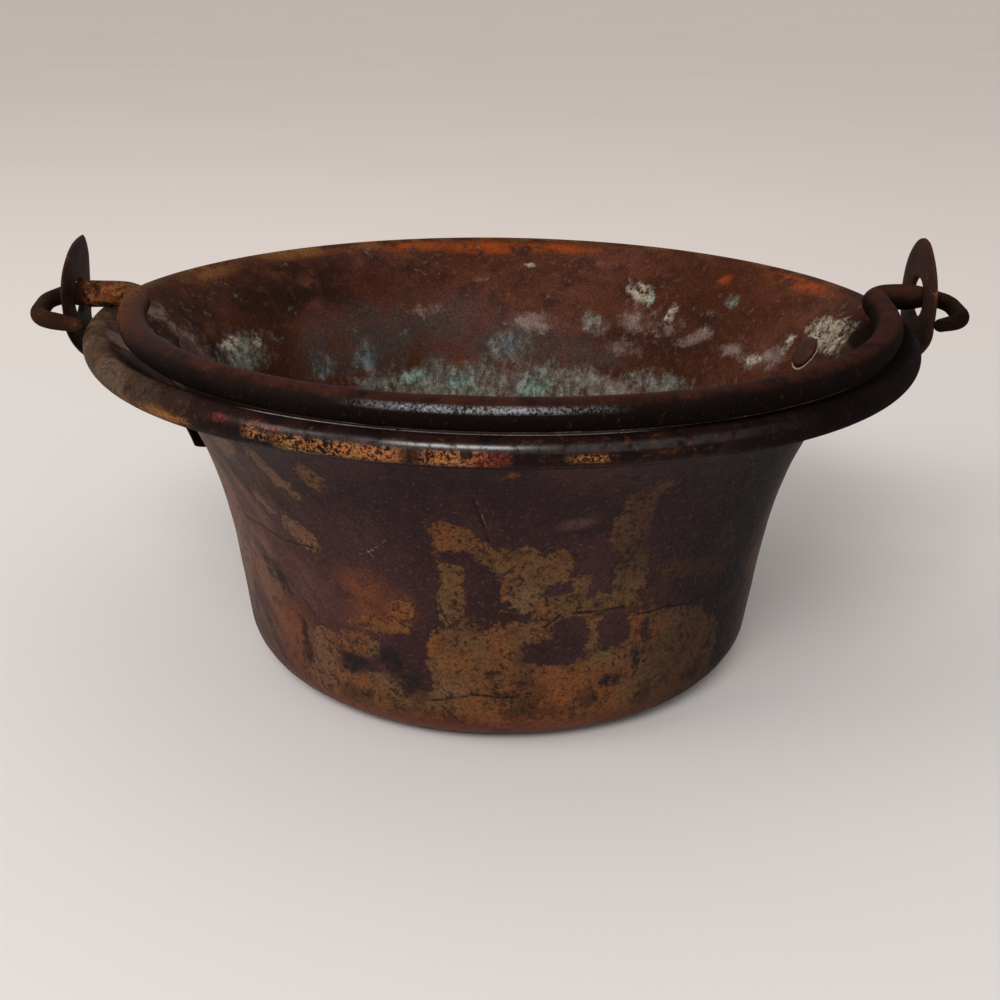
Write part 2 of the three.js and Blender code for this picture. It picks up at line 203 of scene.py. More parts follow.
def fan_faces(centre, ring, sides, turned_over=False):
    """Triangles from one point to a ring."""
    faces = []
    for side in range(sides):
        a, b = ring + side, ring + (side + 1) % sides
        faces.append((centre, b, a) if turned_over else (centre, a, b))
    return faces


# %% Turn the sheet
OUTER_MIDDLE_HEIGHT = 0.2


def turned_side(offset):
    """One face of the sheet: the middle line moved out by an offset, struck, and turned round the axis."""
    moved = offset + strikes - swell
    radius = sheet_line[:, :1] + sheet_outward[:, :1] * moved + squash
    height = sheet_line[:, 1:] + sheet_outward[:, 1:] * moved + sag
    return np.stack([radius * np.sin(turn), -radius * np.cos(turn), height], 2).reshape(-1, 3)


outer_face = turned_side(SHEET / 2)
inner_face = turned_side(-SHEET / 2)
rows = len(sheet_line)
inner_first = rows * TURNS
outer_middle, inner_middle = 2 * inner_first, 2 * inner_first + 1
sheet_points = np.vstack([outer_face, inner_face, [[0, 0, OUTER_MIDDLE_HEIGHT], [0, 0, SHEET]]])
outside_faces = ring_faces(rows, TURNS) + fan_faces(outer_middle, 0, TURNS, turned_over=True)
inside_faces = [face[::-1] for face in ring_faces(rows, TURNS, inner_first)]
inside_faces += fan_faces(inner_middle, inner_first, TURNS)
edge_faces = ring_faces(2, TURNS, first=inner_first - TURNS, step=inner_first)
sheet_faces = outside_faces + inside_faces + edge_faces
pot = make_piece("hammered_pot", sheet_points, sheet_faces, "vessel", "copper_vessel")

# %% [markdown]
# ## Where the patina has flaked
# Old copper goes dark plum, and where heat and scouring lift that skin, ochre metal shows with a crisp
# edge. The real flakes could be painted as a picture, but a picture has one fixed sharpness. Instead each
# point of the mesh carries a number: how many millimetres it lies inside the nearest flake. The shader
# later adds fine noise to that number before it cuts, so edges stay ragged and sharp at any distance.
# Flakes and the islands of patina in them are boxy ovals. Each is a turn from the front in degrees, a
# height, half a width, half a height and, if it leans, its lean. The back isn't known, so chance makes
# the flakes there.


# %% Patches on the wall
CRISP_BOXINESS, SOFT_BOXINESS, SOFT_EDGE = 3, 2, (-0.45, 0.8)
turn_of_point = np.degrees(np.arctan2(sheet_points[:, 0], -sheet_points[:, 1]))
radius_of_point = np.hypot(sheet_points[:, 0], sheet_points[:, 1])


def inside_patch(patch, boxiness):
    """Millimetres from the edge of a patch, positive inside it, for every point of the pot."""
    at_turn, at_height, half_width, half_height, *lean = patch
    angle = (turn_of_point - at_turn + 180) % 360 - 180
    across = radius_of_point * np.radians(angle)
    rise = sheet_points[:, 2] - at_height
    tilt = math.radians(sum(lean))
    u = np.abs(across * math.cos(tilt) + rise * math.sin(tilt)) / half_width
    v = np.abs(rise * math.cos(tilt) - across * math.sin(tilt)) / half_height
    return (1 - (u**boxiness + v**boxiness) ** (1 / boxiness)) * min(half_width, half_height)


def crisp(patches):
    return np.max([inside_patch(patch, CRISP_BOXINESS) for patch in patches], axis=0)


def soft(patches):
    """A stain that is strongest in the middle of its patches and fades over their edges."""
    shares = [inside_patch(patch, SOFT_BOXINESS) / min(patch[2], patch[3]) for patch in patches]
    return smooth_step(np.max(shares, axis=0), *SOFT_EDGE)


def paint(name, values):
    layer = pot.data.attributes.new(name, "FLOAT", "POINT")
    layer.data.foreach_set("value", values.astype(np.float32))
    print("painted", name, "from", round(float(values.min()), 2), "to", round(float(values.max()), 2))


# %% Flakes on the outside
FLAKES = [
    (-10, 73, 5.6, 4.8), (-6, 70, 5, 2.8, -38), (-12.4, 67, 1.8, 2.6), (-10.5, 53, 4.4, 12),
    (1, 61, 7.8, 9.4), (7.4, 63, 4.2, 6), (11.5, 56, 3.8, 3.8), (11, 50.3, 21, 3.6, -3),
    (21.5, 58, 5.6, 9.4), (19.5, 76.5, 6, 9.6, -4), (21.5, 86.5, 6, 2.6, 28), (36, 55, 15, 3.4, -10),
    (16, 25, 49, 20, -3), (-12, 30, 8, 11), (-20.5, 46.6, 4.2, 3.6, -12), (-24.5, 40.2, 9, 2.8),
    (-38.5, 27, 5.8, 7), (-30, 31.6, 6.6, 4.2), (-29, 15, 24, 9), (-41, 84, 9, 3.4, -42),
    (-32.5, 87.7, 4.6, 3.2, -48), (-40, 65.3, 6.4, 3.6, -30), (-47.5, 71, 4.8, 2.4, -30),
    (-1, 95.5, 2.6, 1.1),
]
ISLANDS = [
    (-5.3, 54, 5.2, 10.6), (8.5, 35, 8.8, 4.6), (10.6, 41, 5.2, 5.6, 8), (19.5, 40.2, 4.8, 6.8),
    (-20.5, 30, 7, 7), (-9.4, 66.6, 4.6, 1.8), (0.5, 61, 1.8, 1.2, -40), (9.4, 56.4, 1.8, 2.6),
    (32, 47.6, 11, 2.4, -18), (14, 53, 2.4, 1), (44, 40, 3, 8, 20), (27, 36, 1.6, 5, 10),
    (-17, 24, 3, 4),
]
maker = np.random.default_rng(7)
for at_turn in np.arange(60, 310, 11):
    for _ in range(2):
        low = maker.uniform(8, 48) if maker.random() < 0.8 else maker.uniform(48, 92)
        size, shape, lean = maker.uniform(3, 12), maker.uniform(0.5, 1.3), maker.uniform(-40, 40)
        spot = (at_turn + maker.uniform(-6, 6), low, size, size * shape, lean)
        (FLAKES if maker.random() < 0.7 else ISLANDS).append(spot)
paint("flake_edge", np.minimum(crisp(FLAKES), -crisp(ISLANDS)))

# %% Stains on the outside
OUTSIDE_STAINS = {
    "soot": [
        (-31, 24.4, 7.6, 4.4, -8), (-28.5, 15.6, 5.4, 2.6), (-19.5, 21, 4, 4.2),
        (20.5, 21.7, 5, 4, 20), (25.2, 28.6, 1.4, 9, 18), (10.5, 24.8, 4.8, 1.4),
        (-53, 46.4, 12, 4.8, -16), (-44, 25, 2.2, 9), (-23, 29, 5, 4), (120, 22, 8, 5),
        (200, 18, 10, 4), (260, 25, 7, 5),
    ],
    "warmth": [
        (-70, 55, 50, 62), (-50, 30, 20, 24), (-36, 14, 26, 12), (135, 50, 28, 40), (235, 45, 26, 34),
    ],
    "blush": [(-28, 48, 11, 11), (-21.5, 47.5, 7, 6), (-48, 27, 9, 13), (165, 60, 16, 12)],
    "smear": [(9.8, 78, 5.4, 1.8, 6)],
}


def paint_stains(stains):
    for name, patches in stains.items():
        paint(name, soft(patches))


paint_stains(OUTSIDE_STAINS)

# %% [markdown]
# ## Stains inside and on the lip
# Water stood in the pot and left a grey-green bloom of verdigris low on the wall, with slate and mint
# crusts in it, pale haze and grey film above, and white chalk where it dried. Near the left ear the pale
# haze is a painted sheen. The flare was scoured to orange metal at the back and painted bright there as a
# glow, with ruddy and honey-coloured places beside it. Painted shade darkens the left side of the inside,
# the top of the flare along the front and the low wall that shows beneath the bail. The roll of the lip is
# gold, red, grey or polished in its turn, with painted shade on its right and black painted shade under the
# bail.
# Texture painting could do this by hand; painted numbers, as for the flakes, keep every stain a line that
# can be moved. The run past the crest of the lip is painted too, so the shader knows where the roll
# begins.

# %% Stains inside
INSIDE_STAINS = {
    "verdigris": [
        (180, 57, 78, 14), (-168, 64, 28, 7), (163, 64, 27, 7), (138, 68, 18, 5), (-150, 65, 12, 4),
        (-116, 87, 16, 7), (156.5, 86, 6, 4.4, 20), (176, 75, 8, 6), (126, 101, 3.4, 2),
        (-137, 74, 5, 5), (-149, 74, 5, 6), (60, 40, 40, 20), (-60, 40, 40, 20),
    ],
    # pale haze; near the left ear, beside the bail's shoulder and between the bail and the lip, the patches
    # are a painted sheen
    "haze_and_sheen": [
        (137, 89, 6, 3, -30), (131, 87, 9, 3, -24), (121, 86, 9, 3, -12), (113, 85, 10, 3.6, -8),
        (-165, 90, 8, 3), (-178, 99.7, 4, 1.2), (170, 85, 13, 4), (108, 88, 8, 5), (-78, 110, 22, 4.5),
        (-100, 96, 12, 12), (-100, 108, 8, 4), (146, 90, 12, 6), (148, 78, 9, 3.4), (152, 64, 22, 5),
    ],
    "film": [
        (-152, 80, 34, 14), (-166, 74, 16, 9), (-138, 80, 14, 12), (178, 78, 34, 9),
        (-170, 83, 24, 12), (157, 75, 20, 6),
    ],
    "ruddy": [(122, 104, 30, 9), (-153, 100, 12, 6)],
    "slate": [
        (-136.5, 73.8, 4, 4), (-149.5, 74.6, 3.6, 5), (-100, 45, 8, 7), (175.5, 75.6, 4, 3.6),
    ],
    "mint": [
        (168, 61.4, 8, 6), (-171, 63, 7, 3), (-160, 65.6, 7, 3.6), (144.8, 96.6, 2, 3.4),
        (120, 48, 7, 6),
    ],
    "chalk": [
        (96, 102.4, 16, 6), (105.5, 94, 2.6, 4), (147, 98, 7, 3.6, 16), (139, 93, 2.4, 4.4),
        (113, 85.5, 5, 1.6, -16), (-113, 91, 6, 2.4), (-121, 88, 3, 2.4), (172, 104.5, 3, 0.8),
    ],
    # scoured to orange metal and painted bright as a glow of reflected light
    "scoured_glow": [
        (-179, 110.2, 18, 2.2), (-166, 111, 16, 1.6), (168, 110.4, 18, 1.6), (114.5, 111.2, 18, 2.4),
        (131, 107, 3.6, 1.6),
    ],
    "honey": [
        (-121, 111.4, 14, 2), (-142, 112, 18, 1.8), (-160, 112, 16, 1.4), (-48, 107, 14, 2.6),
        (-92, 109, 6, 2.5),
    ],
    # painted shade: the left of the inside, the top of the flare along the front, and the low wall seen
    # beneath the bail
    "inside_shade": [
        (-140, 102, 44, 12), (-95, 88, 52, 28), (-60, 104, 70, 12), (0, 104, 90, 12),
        (62, 104, 70, 12), (142, 43, 36, 10), (114, 56, 26, 11), (93, 71, 22, 12), (73, 89, 18, 12),
    ],
}
paint_stains(INSIDE_STAINS)

# %% Stains on the lip
FAR_BELOW_LIP, TURN_FADE, RUN_FADE = -200, 0.9, 0.5
run_of_point = np.append(np.tile(np.repeat(past_crest, TURNS), 2), [FAR_BELOW_LIP] * 2)
GILDED = [
    (-31, -28.4, 3.6, 6.8), (-27, -13, 4.6, 8.4), (-10.6, -4, 4.6, 8.4), (5, 9, 5.4, 7), (-46, -40, 6, 8),
]
REDDENED = [(-5.6, -2, 5, 8.4), (-30, -29, 2.6, 4.2), (-28, -26.6, 3.4, 4.4), (-35.6, -34, 3, 4.6)]


def between(value, low, high, fade):
    return smooth_step(value, low - fade, low + fade) * (1 - smooth_step(value, high - fade, high + fade))


def lip_zones(zones):
    """Stretches of the roll: from and to a turn in degrees, and from and to a run past the crest."""
    shares = []
    for turn_from, turn_to, run_from, run_to in zones:
        stretch = between(turn_of_point, turn_from, turn_to, TURN_FADE)
        shares.append(stretch * between(run_of_point, run_from, run_to, RUN_FADE))
    return np.max(shares, axis=0)


paint("past_crest", run_of_point)
paint("gilding", lip_zones(GILDED))
paint("reddening", lip_zones(REDDENED))
paint("greying", between(turn_of_point, -108, -50, 14) + 0.5 * between(turn_of_point, -100, -80, 8))
# painted shade on the right of the roll
paint("lip_shade_right", between(turn_of_point, 26, 78, 12))
# worn crest line, also painted pale as a highlight
paint("rubbed_glint", between(turn_of_point, -31, 13, 3))
paint("polished", between(turn_of_point, -26, 24, 12))
paint("far_side", smooth_step(np.abs(turn_of_point), 96, 112))
shade_end = -0.6 + 1.6 * smooth_step(turn_of_point, 10, 24)
paint("bail_shade", between(turn_of_point, -62, 92, 7) * between(run_of_point, -16, shade_end, RUN_FADE))

# %% [markdown]
# ## Shader maths in plain Python
# Materials are node trees, and wiring each Math node by hand hides the idea. A small class wraps a socket
# and gives it Python's operators, so `1 - mask` adds the node it needs. Every other node comes from one
# method that takes its type, its settings and its sockets.


# %% Sockets that do arithmetic
class Value:
    def __init__(self, finish, socket):
        self.finish, self.socket = finish, socket

    def math(self, operation, *terms):
        return self.finish.node("ShaderNodeMath", {"operation": operation}, dict(enumerate(terms)))

    def __add__(self, other):
        return self.math("ADD", self, other)

    def __radd__(self, other):
        return self.math("ADD", other, self)

    def __sub__(self, other):
        return self.math("SUBTRACT", self, other)

    def __rsub__(self, other):
        return self.math("SUBTRACT", other, self)

    def __mul__(self, other):
        return self.math("MULTIPLY", self, other)

    def __rmul__(self, other):
        return self.math("MULTIPLY", other, self)

    def __neg__(self):
        return self.math("MULTIPLY", self, -1)

    def __abs__(self):
        return self.math("ABSOLUTE", self)


def plain(code):
    """A colour as it is written for the screen, turned into the linear colour that shaders work in."""
    parts = [int(code[i : i + 2], 16) / 255 for i in (1, 3, 5)]
    return (*[p / 12.92 if p <= 0.04045 else ((p + 0.055) / 1.055) ** 2.4 for p in parts], 1)


# %% The finish helper
METRE = 1000
BUMP_STRENGTH, COAT_ROUGHNESS = 0.6, 0.22


class Finish:
    def __init__(self, name):
        self.material = bpy.data.materials.new(name)
        self.material.use_nodes = True
        self.tree = self.material.node_tree
        self.tree.nodes.clear()
        self.place = self.node("ShaderNodeTexCoord", out="Object")

    def node(self, kind, settings=None, sockets=None, out=0):
        made = self.tree.nodes.new(kind)
        for name, setting in (settings or {}).items():
            setattr(made, name, setting)
        for key, value in (sockets or {}).items():
            if isinstance(value, Value):
                self.tree.links.new(value.socket, made.inputs[key])
            else:
                made.inputs[key].default_value = value
        return Value(self, made.outputs[out]) if made.outputs else None

    def axes(self):
        """The object's own x, y and z, in millimetres."""
        split = self.node("ShaderNodeSeparateXYZ", {}, {0: self.place}).socket.node
        return [Value(self, output) * METRE for output in split.outputs]

    def painted(self, name):
        return self.node("ShaderNodeAttribute", {"attribute_name": name}, out="Fac")

    def stretched(self, x, y, z):
        return self.node("ShaderNodeVectorMath", {"operation": "MULTIPLY"}, {0: self.place, 1: (x, y, z)})

    def noise(self, scale, detail=3, roughness=0.55, place=None):
        sockets = {"Vector": place or self.place, "Scale": scale, "Detail": detail, "Roughness": roughness}
        return self.node("ShaderNodeTexNoise", {}, sockets)

    def smooth(self, value, low, high):
        sockets = {"Value": value, "From Min": low, "From Max": high}
        return self.node("ShaderNodeMapRange", {"interpolation_type": "SMOOTHSTEP"}, sockets)

    def mix(self, factor, below, above):
        """A colour that goes from one to another with a factor."""
        below, above = [plain(c) if isinstance(c, str) else c for c in (below, above)]
        return self.node("ShaderNodeMix", {"data_type": "RGBA"}, {0: factor, 6: below, 7: above}, out=2)

    def layers(self, colour, *coats):
        """Lays coats over a colour in turn. Each is how much of it there is, and its own colour."""
        for share, coat in coats:
            colour = self.mix(share, colour, coat)
        return colour

    def distance(self, point):
        """Millimetres from a point that is given in millimetres."""
        sockets = {0: self.place, 1: [v * MM for v in point]}
        return self.node("ShaderNodeVectorMath", {"operation": "DISTANCE"}, sockets, out="Value") * METRE

    def stroke(self, across, rise, start, end, width):
        """A thin straight line on the wall, between two places in millimetres."""
        (x0, y0), (x1, y1) = start, end
        length = math.hypot(x1 - x0, y1 - y0)
        ux, uy = (x1 - x0) / length, (y1 - y0) / length
        beside = abs((across - x0) * -uy + (rise - y0) * ux)
        past = abs((across - (x0 + x1) / 2) * ux + (rise - (y0 + y1) / 2) * uy)
        thin = 1 - self.smooth(beside, width * 0.4, width)
        return thin * (1 - self.smooth(past, length * 0.4, length * 0.5))

    def surface(self, colour, roughness, metallic, height, depth, shine, coat=0):
        """Joins the finish to the output; the bump is its height times the depth, in millimetres."""
        sockets = {"Strength": BUMP_STRENGTH, "Distance": depth * MM, "Height": height}
        bump = self.node("ShaderNodeBump", {}, sockets)
        sockets = {"Base Color": colour, "Roughness": roughness, "Metallic": metallic, "Normal": bump}
        sockets.update({"Specular IOR Level": shine, "Coat Weight": coat, "Coat Roughness": COAT_ROUGHNESS})
        shader = self.node("ShaderNodeBsdfPrincipled", {}, sockets)
        self.node("ShaderNodeOutputMaterial", {}, {"Surface": shader})
        print("finish", self.material.name, "has", len(self.tree.nodes), "nodes")
        return self.material


# %% [markdown]
# ## The outside of the pot
# The outside is three things in layers: plum-brown patina with a fine grain, ochre metal where it flaked,
# and soot, embers, creases and a pale smear over both. An image texture would show its pixels up close,
# so noise makes the grain. The flake number gets two noises, one for its ragged shape and one for its
# frayed edge, and the cut between metal and patina gets dark cracks. Fire colour runs down the wall in
# slanting streaks. The right side is painted darker than the left as shade, and such colours fade out
# behind, so that no seam shows there.

# %% Lines on the outside, as places across the front and up the wall
WALL_RADIUS = 90
CREASES = [
    ((-98, 62.4), (-69, 60.6)), ((-70, 60.6), (-58, 62)), ((16, 47.6), (35, 47)), ((36, 44), (52, 43.6)),
    ((48, 43.8), (84, 40.6)), ((8.6, 43.2), (14.4, 47.8)), ((-26, 16.4), (-12, 19.4)),
    ((-13, 19.6), (4, 20.2)), ((-10.2, 88.2), (-6.3, 71.3)),
]
SCRATCHES = [
    ((-43, 69), (-38, 63)), ((-43.4, 62.7), (-37.6, 66)), ((-39, 65), (-33.6, 70)),
    ((-9.4, 87), (-6.6, 76)),
]
CREASE_WIDTH, SCRATCH_WIDTH, STREAK_SQUEEZE = 0.6, 0.35, 0.15


# %% Patina of the outside
def patina_colour(f, across, rise, mottle, wall_shade_right):
    """Plum-brown skin, painted darker on the right as shade, with fire colour in slanting streaks on the
    left.
    """
    up_right, down_right = (across + rise) * MM, (across - rise) * (STREAK_SQUEEZE * MM)
    streak = f.noise(90, 5, 0.62, f.node("ShaderNodeCombineXYZ", {}, {0: up_right, 1: down_right}))
    warmth = f.painted("warmth") * f.smooth(streak, 0.3, 0.66)
    return f.layers(
        f.mix(f.smooth(f.noise(16, 4), 0.35, 0.65), "#2d1819", "#402526"),
        # painted shade: the right side of the patina is darkened
        (wall_shade_right * 0.95, "#130c0c"),
        (f.smooth(f.noise(38, 6, 0.65), 0.44, 0.6) * 0.6, "#1c1213"),
        (f.smooth(mottle, 0.5, 0.75) * 0.5, "#4a2d28"),
        (f.smooth(f.noise(820, 4, 0.7), 0.55, 0.66) * 0.4, "#5f4843"),
        (warmth * 0.9, f.mix(f.smooth(mottle, 0.4, 0.6), "#7a4f3d", "#5e3424")),
        (f.painted("blush") * f.smooth(mottle, 0.34, 0.56) * 0.9, "#6b3b22"),
    )


# %% Bare metal of the outside
def metal_colour(f, across, rise, pits):
    """Ochre metal, painted darker and browner on the right as shade, greyer at the far left, and grimy near
    the base.
    """
    seen = 1 - f.smooth(abs(across), 150, 240)
    grime = f.smooth(f.noise(110, 5, 0.65), 0.48, 0.6) * (1 - f.smooth(rise, 14, 36))
    return f.layers(
        f.mix(f.smooth(f.noise(45, 4), 0.38, 0.62), "#63462b", "#744526"),
        (f.smooth(f.noise(140, 5, 0.65), 0.46, 0.66) * 0.75, "#4a3020"),
        (f.smooth(f.noise(60, 3), 0.55, 0.7) * 0.6, "#6b5540"),
        (f.painted("blush") * 0.6, "#7c431d"),
        # painted shade: the metal is darker towards the right, and higher up on the right
        (f.smooth(rise, 46, 66) * f.smooth(across, 18, 32) * seen * 0.7, "#3c2a22"),
        (f.smooth(across, 28, 62) * seen * 0.72, "#352319"),
        (f.smooth(across, 36, 60) * f.smooth(rise, 44, 54) * seen * 0.75, "#2a1c19"),
        (f.smooth(-across, 45, 65) * seen * 0.7, "#6a4a37"),
        (grime * 0.65, "#2e1c12"),
        (pits * 0.75, "#1e1412"),
    )


# %% Outside finish
def outside_finish():
    f = Finish("patinated_copper")
    x, y, rise = f.axes()
    across = f.node("ShaderNodeMath", {"operation": "ARCTAN2"}, {0: x, 1: -y}) * WALL_RADIUS
    mottle, fine, grain = f.noise(75, 6, 0.6), f.noise(330, 6, 0.7), f.noise(1300, 3, 0.6)
    edge = f.painted("flake_edge") + (mottle - 0.5) * 5 + (fine - 0.5) * 8
    flake = f.smooth(edge, -0.3, 0.5)
    crack = (1 - f.smooth(abs(edge), 0.15, 0.5)) * f.smooth(f.noise(60, 3), 0.48, 0.6)
    pits = f.smooth(f.noise(560, 5, 0.75) + (mottle - 0.5) * 0.3, 0.53, 0.61)
    # Painted shade on the right side. It lifts near the right edge and leaves a lighter band there as a
    # painted sheen.
    wall_shade_right = f.smooth(across, 15, 75) * (1 - f.smooth(across, 80, 112))
    ember = (1 - f.smooth(rise, 5, 15)) * f.smooth(mottle, 0.3, 0.54)
    soot = f.smooth(f.painted("soot") + (mottle - 0.5) * 3 + (fine - 0.5) * 2.5, 0.3, 1)
    wavy = rise + (mottle - 0.5) * 4
    crease = sum(f.stroke(across, wavy, *ends, CREASE_WIDTH) for ends in CREASES)
    crease = crease * f.smooth(fine, 0.36, 0.5)
    scratch = sum(f.stroke(across, rise, *ends, SCRATCH_WIDTH) for ends in SCRATCHES)
    patina = patina_colour(f, across, rise, mottle, wall_shade_right)
    colour = f.layers(
        f.mix(flake, patina, metal_colour(f, across, rise, pits)),
        (crack * 0.55, "#140d0d"),
        # the embers are painted darker on the right, as shade
        (ember * 0.8, f.mix(wall_shade_right, "#6f3517", "#3d2015")),
        (soot * 0.8, "#151315"),
        (crease * 0.8, "#120c0d"),
        (scratch * f.smooth(fine, 0.46, 0.58) * 0.45, "#7a665b"),
        (f.painted("smear") * f.smooth(fine, 0.3, 0.5) * 0.6, "#6a4d47"),
        (f.smooth(grain, 0.4, 0.62) * 0.4, "#0d0808"),
    )
    roughness = 0.52 + (fine - 0.5) * 0.35 + soot * 0.1 + wall_shade_right * 0.2
    height = flake * -0.35 + mottle * 0.5 + fine * 0.35 + grain * 0.12 - crease * 0.8 - pits * flake * 0.3
    return f.surface(colour, roughness, flake * 0.1, height, 0.25, 0.1)


# %% [markdown]
# ## The inside and the lip
# One face of the sheet runs from the bottom of the pot up the inside and over the roll of the lip. Two
# materials would need a seam on the lip, so one finish covers it all and changes with the run past the
# crest. Inside it is matt red-brown under its stains, which ran down in streaks. The roll is handled and
# rubbed: speckled gold at the front left, grey further left, and dark on the right with painted shade.
# Only its front is polished, and a thin line on its crest, where the bail lands, is rubbed and painted pale
# as a highlight.

# %% Places for the inside finish
RIVET_RING_RADIUS = 6.3
DARK_SPOT = (-6, 5.2)


def lip_place(at_turn, past):
    """A point on the outside of the roll, from its turn in degrees and its run past the crest."""
    roll_turn, angle = past / CURL_RADIUS, math.radians(at_turn)
    radius = WIRE_CENTRE[0] + BEAD_RADIUS * math.sin(roll_turn)
    height = WIRE_CENTRE[1] + BEAD_RADIUS * math.cos(roll_turn)
    return radius * math.sin(angle), -radius * math.cos(angle), height


def wall_at(height):
    """The middle of the sheet at a height, its direction upwards and its outward side."""
    at = np.interp(height, sheet_line[len(base) : crest + 1, 1], np.arange(len(base), crest + 1))
    row, share = int(at), at % 1
    tables = (sheet_line, sheet_along, sheet_outward)
    return [table[row] * (1 - share) + table[min(row + 1, crest)] * share for table in tables]


# %% Where the rivets go through the wall
PAIR_HEIGHT, LOWER_HEIGHT, PAIR_SPACING = 94.3, 77, 31
pair_radius = wall_at(PAIR_HEIGHT)[0][0]
pair_turn = math.asin(PAIR_SPACING / 2 / pair_radius)
rivet_places = [
    ("front", PAIR_HEIGHT, -pair_turn), ("back", PAIR_HEIGHT, pair_turn), ("lower", LOWER_HEIGHT, 0),
]
right_back_rivet = (pair_radius * math.cos(pair_turn), pair_radius * math.sin(pair_turn), PAIR_HEIGHT)
print("right back rivet at", [round(v, 1) for v in right_back_rivet])


# %% Inside wall
def inside_wall(f, mottle, fine):
    """Colour of the inside of the pot, how dull its deposits make it, and how far it is scoured and painted
    glowing.
    """
    drip = f.noise(340, 6, 0.72, f.stretched(1, 1, 0.6))
    ragged = (mottle - 0.5) * 1.5 + (drip - 0.5) * 1.3 + (fine - 0.5) * 1.4

    def stain(name, low, high):
        """How much of a stain there is: ragged inside its patches, and hardly a speck outside."""
        share = f.painted(name)
        return f.smooth(share + ragged, low, high) * (0.25 + 0.75 * f.smooth(share, 0, 0.2))

    # haze, with a painted sheen near the left ear
    haze_and_sheen = stain("haze_and_sheen", 0.2, 1.3) * f.smooth(mottle, 0.36, 0.58)
    bloom = stain("verdigris", 0, 1.4) * 0.95
    chalk = f.smooth(f.painted("chalk") + ragged * 0.8, 0.25, 0.75)
    chalk = chalk * f.smooth(f.noise(420, 4, 0.7), 0.38, 0.5)
    dry = f.smooth(drip, 0.4, 0.64)
    ring = 1 - f.smooth(abs(f.distance(right_back_rivet) - RIVET_RING_RADIUS), 0.15, 0.4)
    scoured_glow = f.painted("scoured_glow") * f.smooth(f.noise(150, 4, 0.6), 0.34, 0.56)
    colour = f.layers(
        f.mix(f.smooth(f.noise(22, 4), 0.35, 0.66), "#472516", "#64392a"),
        (f.smooth(mottle, 0.42, 0.64) * 0.7, "#321b13"),
        (f.smooth(fine, 0.52, 0.7) * 0.35, "#7a4f3f"),
        # painted shade
        (f.painted("inside_shade") * f.smooth(mottle, 0.24, 0.5) * 0.85, "#1e110c"),
        (f.painted("film") * f.smooth(mottle, 0.24, 0.56) * 0.6, "#4b4441"),
        (f.painted("ruddy") * f.smooth(mottle, 0.24, 0.5) * 0.6, "#4a2211"),
        (haze_and_sheen * 0.9, "#8c746b"),
        (bloom, f.mix(f.smooth(drip, 0.36, 0.66), "#55524a", "#949388")),
        (chalk * 0.85, f.mix(f.smooth(fine, 0.4, 0.6), "#80735e", "#b8ae98")),
        (stain("slate", 0.2, 1.1) * 0.8, f.mix(dry, "#2b343a", "#616c72")),
        (stain("mint", 0.2, 1.1) * 0.8, f.mix(dry, "#5f7467", "#9cb5a4")),
        (ring * f.smooth(mottle, 0.2, 0.34) * 0.8, "#b3a690"),
        # scoured orange metal, painted bright as a glow
        (scoured_glow * 0.9, "#a1481a"),
    )
    return colour, bloom + chalk, scoured_glow


# %% Roll of the lip
def lip_roll(f, past, mottle, fine):
    """Dark roll, speckled gold in places and painted shade on the right, with a rubbed, painted highlight
    where the bail lands.
    """
    specks = f.smooth(f.noise(1050, 5, 0.75) + (mottle - 0.5) * 0.35, 0.45, 0.54)
    freckle = f.smooth(f.noise(400, 5, 0.75), 0.56, 0.64) * f.smooth(past, 0, 2)
    spot = 1 - f.smooth(f.distance(lip_place(*DARK_SPOT)) + (fine - 0.5) * 2, 1.3, 1.8)
    # rubbed line on the crest, painted pale as a highlight too
    rub_and_glint = (1 - f.smooth(abs(past - 0.3), 0.08, 0.26)) * f.painted("rubbed_glint") * f.smooth(fine, 0.3, 0.45)
    far = f.mix(f.smooth(mottle, 0.4, 0.6), "#4a2614", "#6b4424")
    grey = f.mix(f.smooth(f.noise(70, 4), 0.4, 0.6), "#6e5745", "#5a412c")
    gold = f.mix(f.smooth(f.noise(160, 3), 0.4, 0.6), "#a0703e", "#aa6a40")
    return f.layers(
        f.mix(f.smooth(mottle, 0.35, 0.65), "#170f0f", "#2c1a17"),
        (f.painted("far_side") * 0.85, far),
        (f.painted("greying") * f.smooth(fine, 0.25, 0.6) * 0.85, grey),
        (freckle * 0.35, "#6d4024"),
        (f.painted("gilding") * specks * 0.9, gold),
        (f.painted("reddening") * (0.2 + specks * 0.6), "#8c3f30"),
        (spot * 0.9, "#150f0d"),
        # painted shade on the right of the roll
        (f.painted("lip_shade_right") * 0.75, "#0c0706"),
        (rub_and_glint * 0.85, "#c3beb4"),
    )


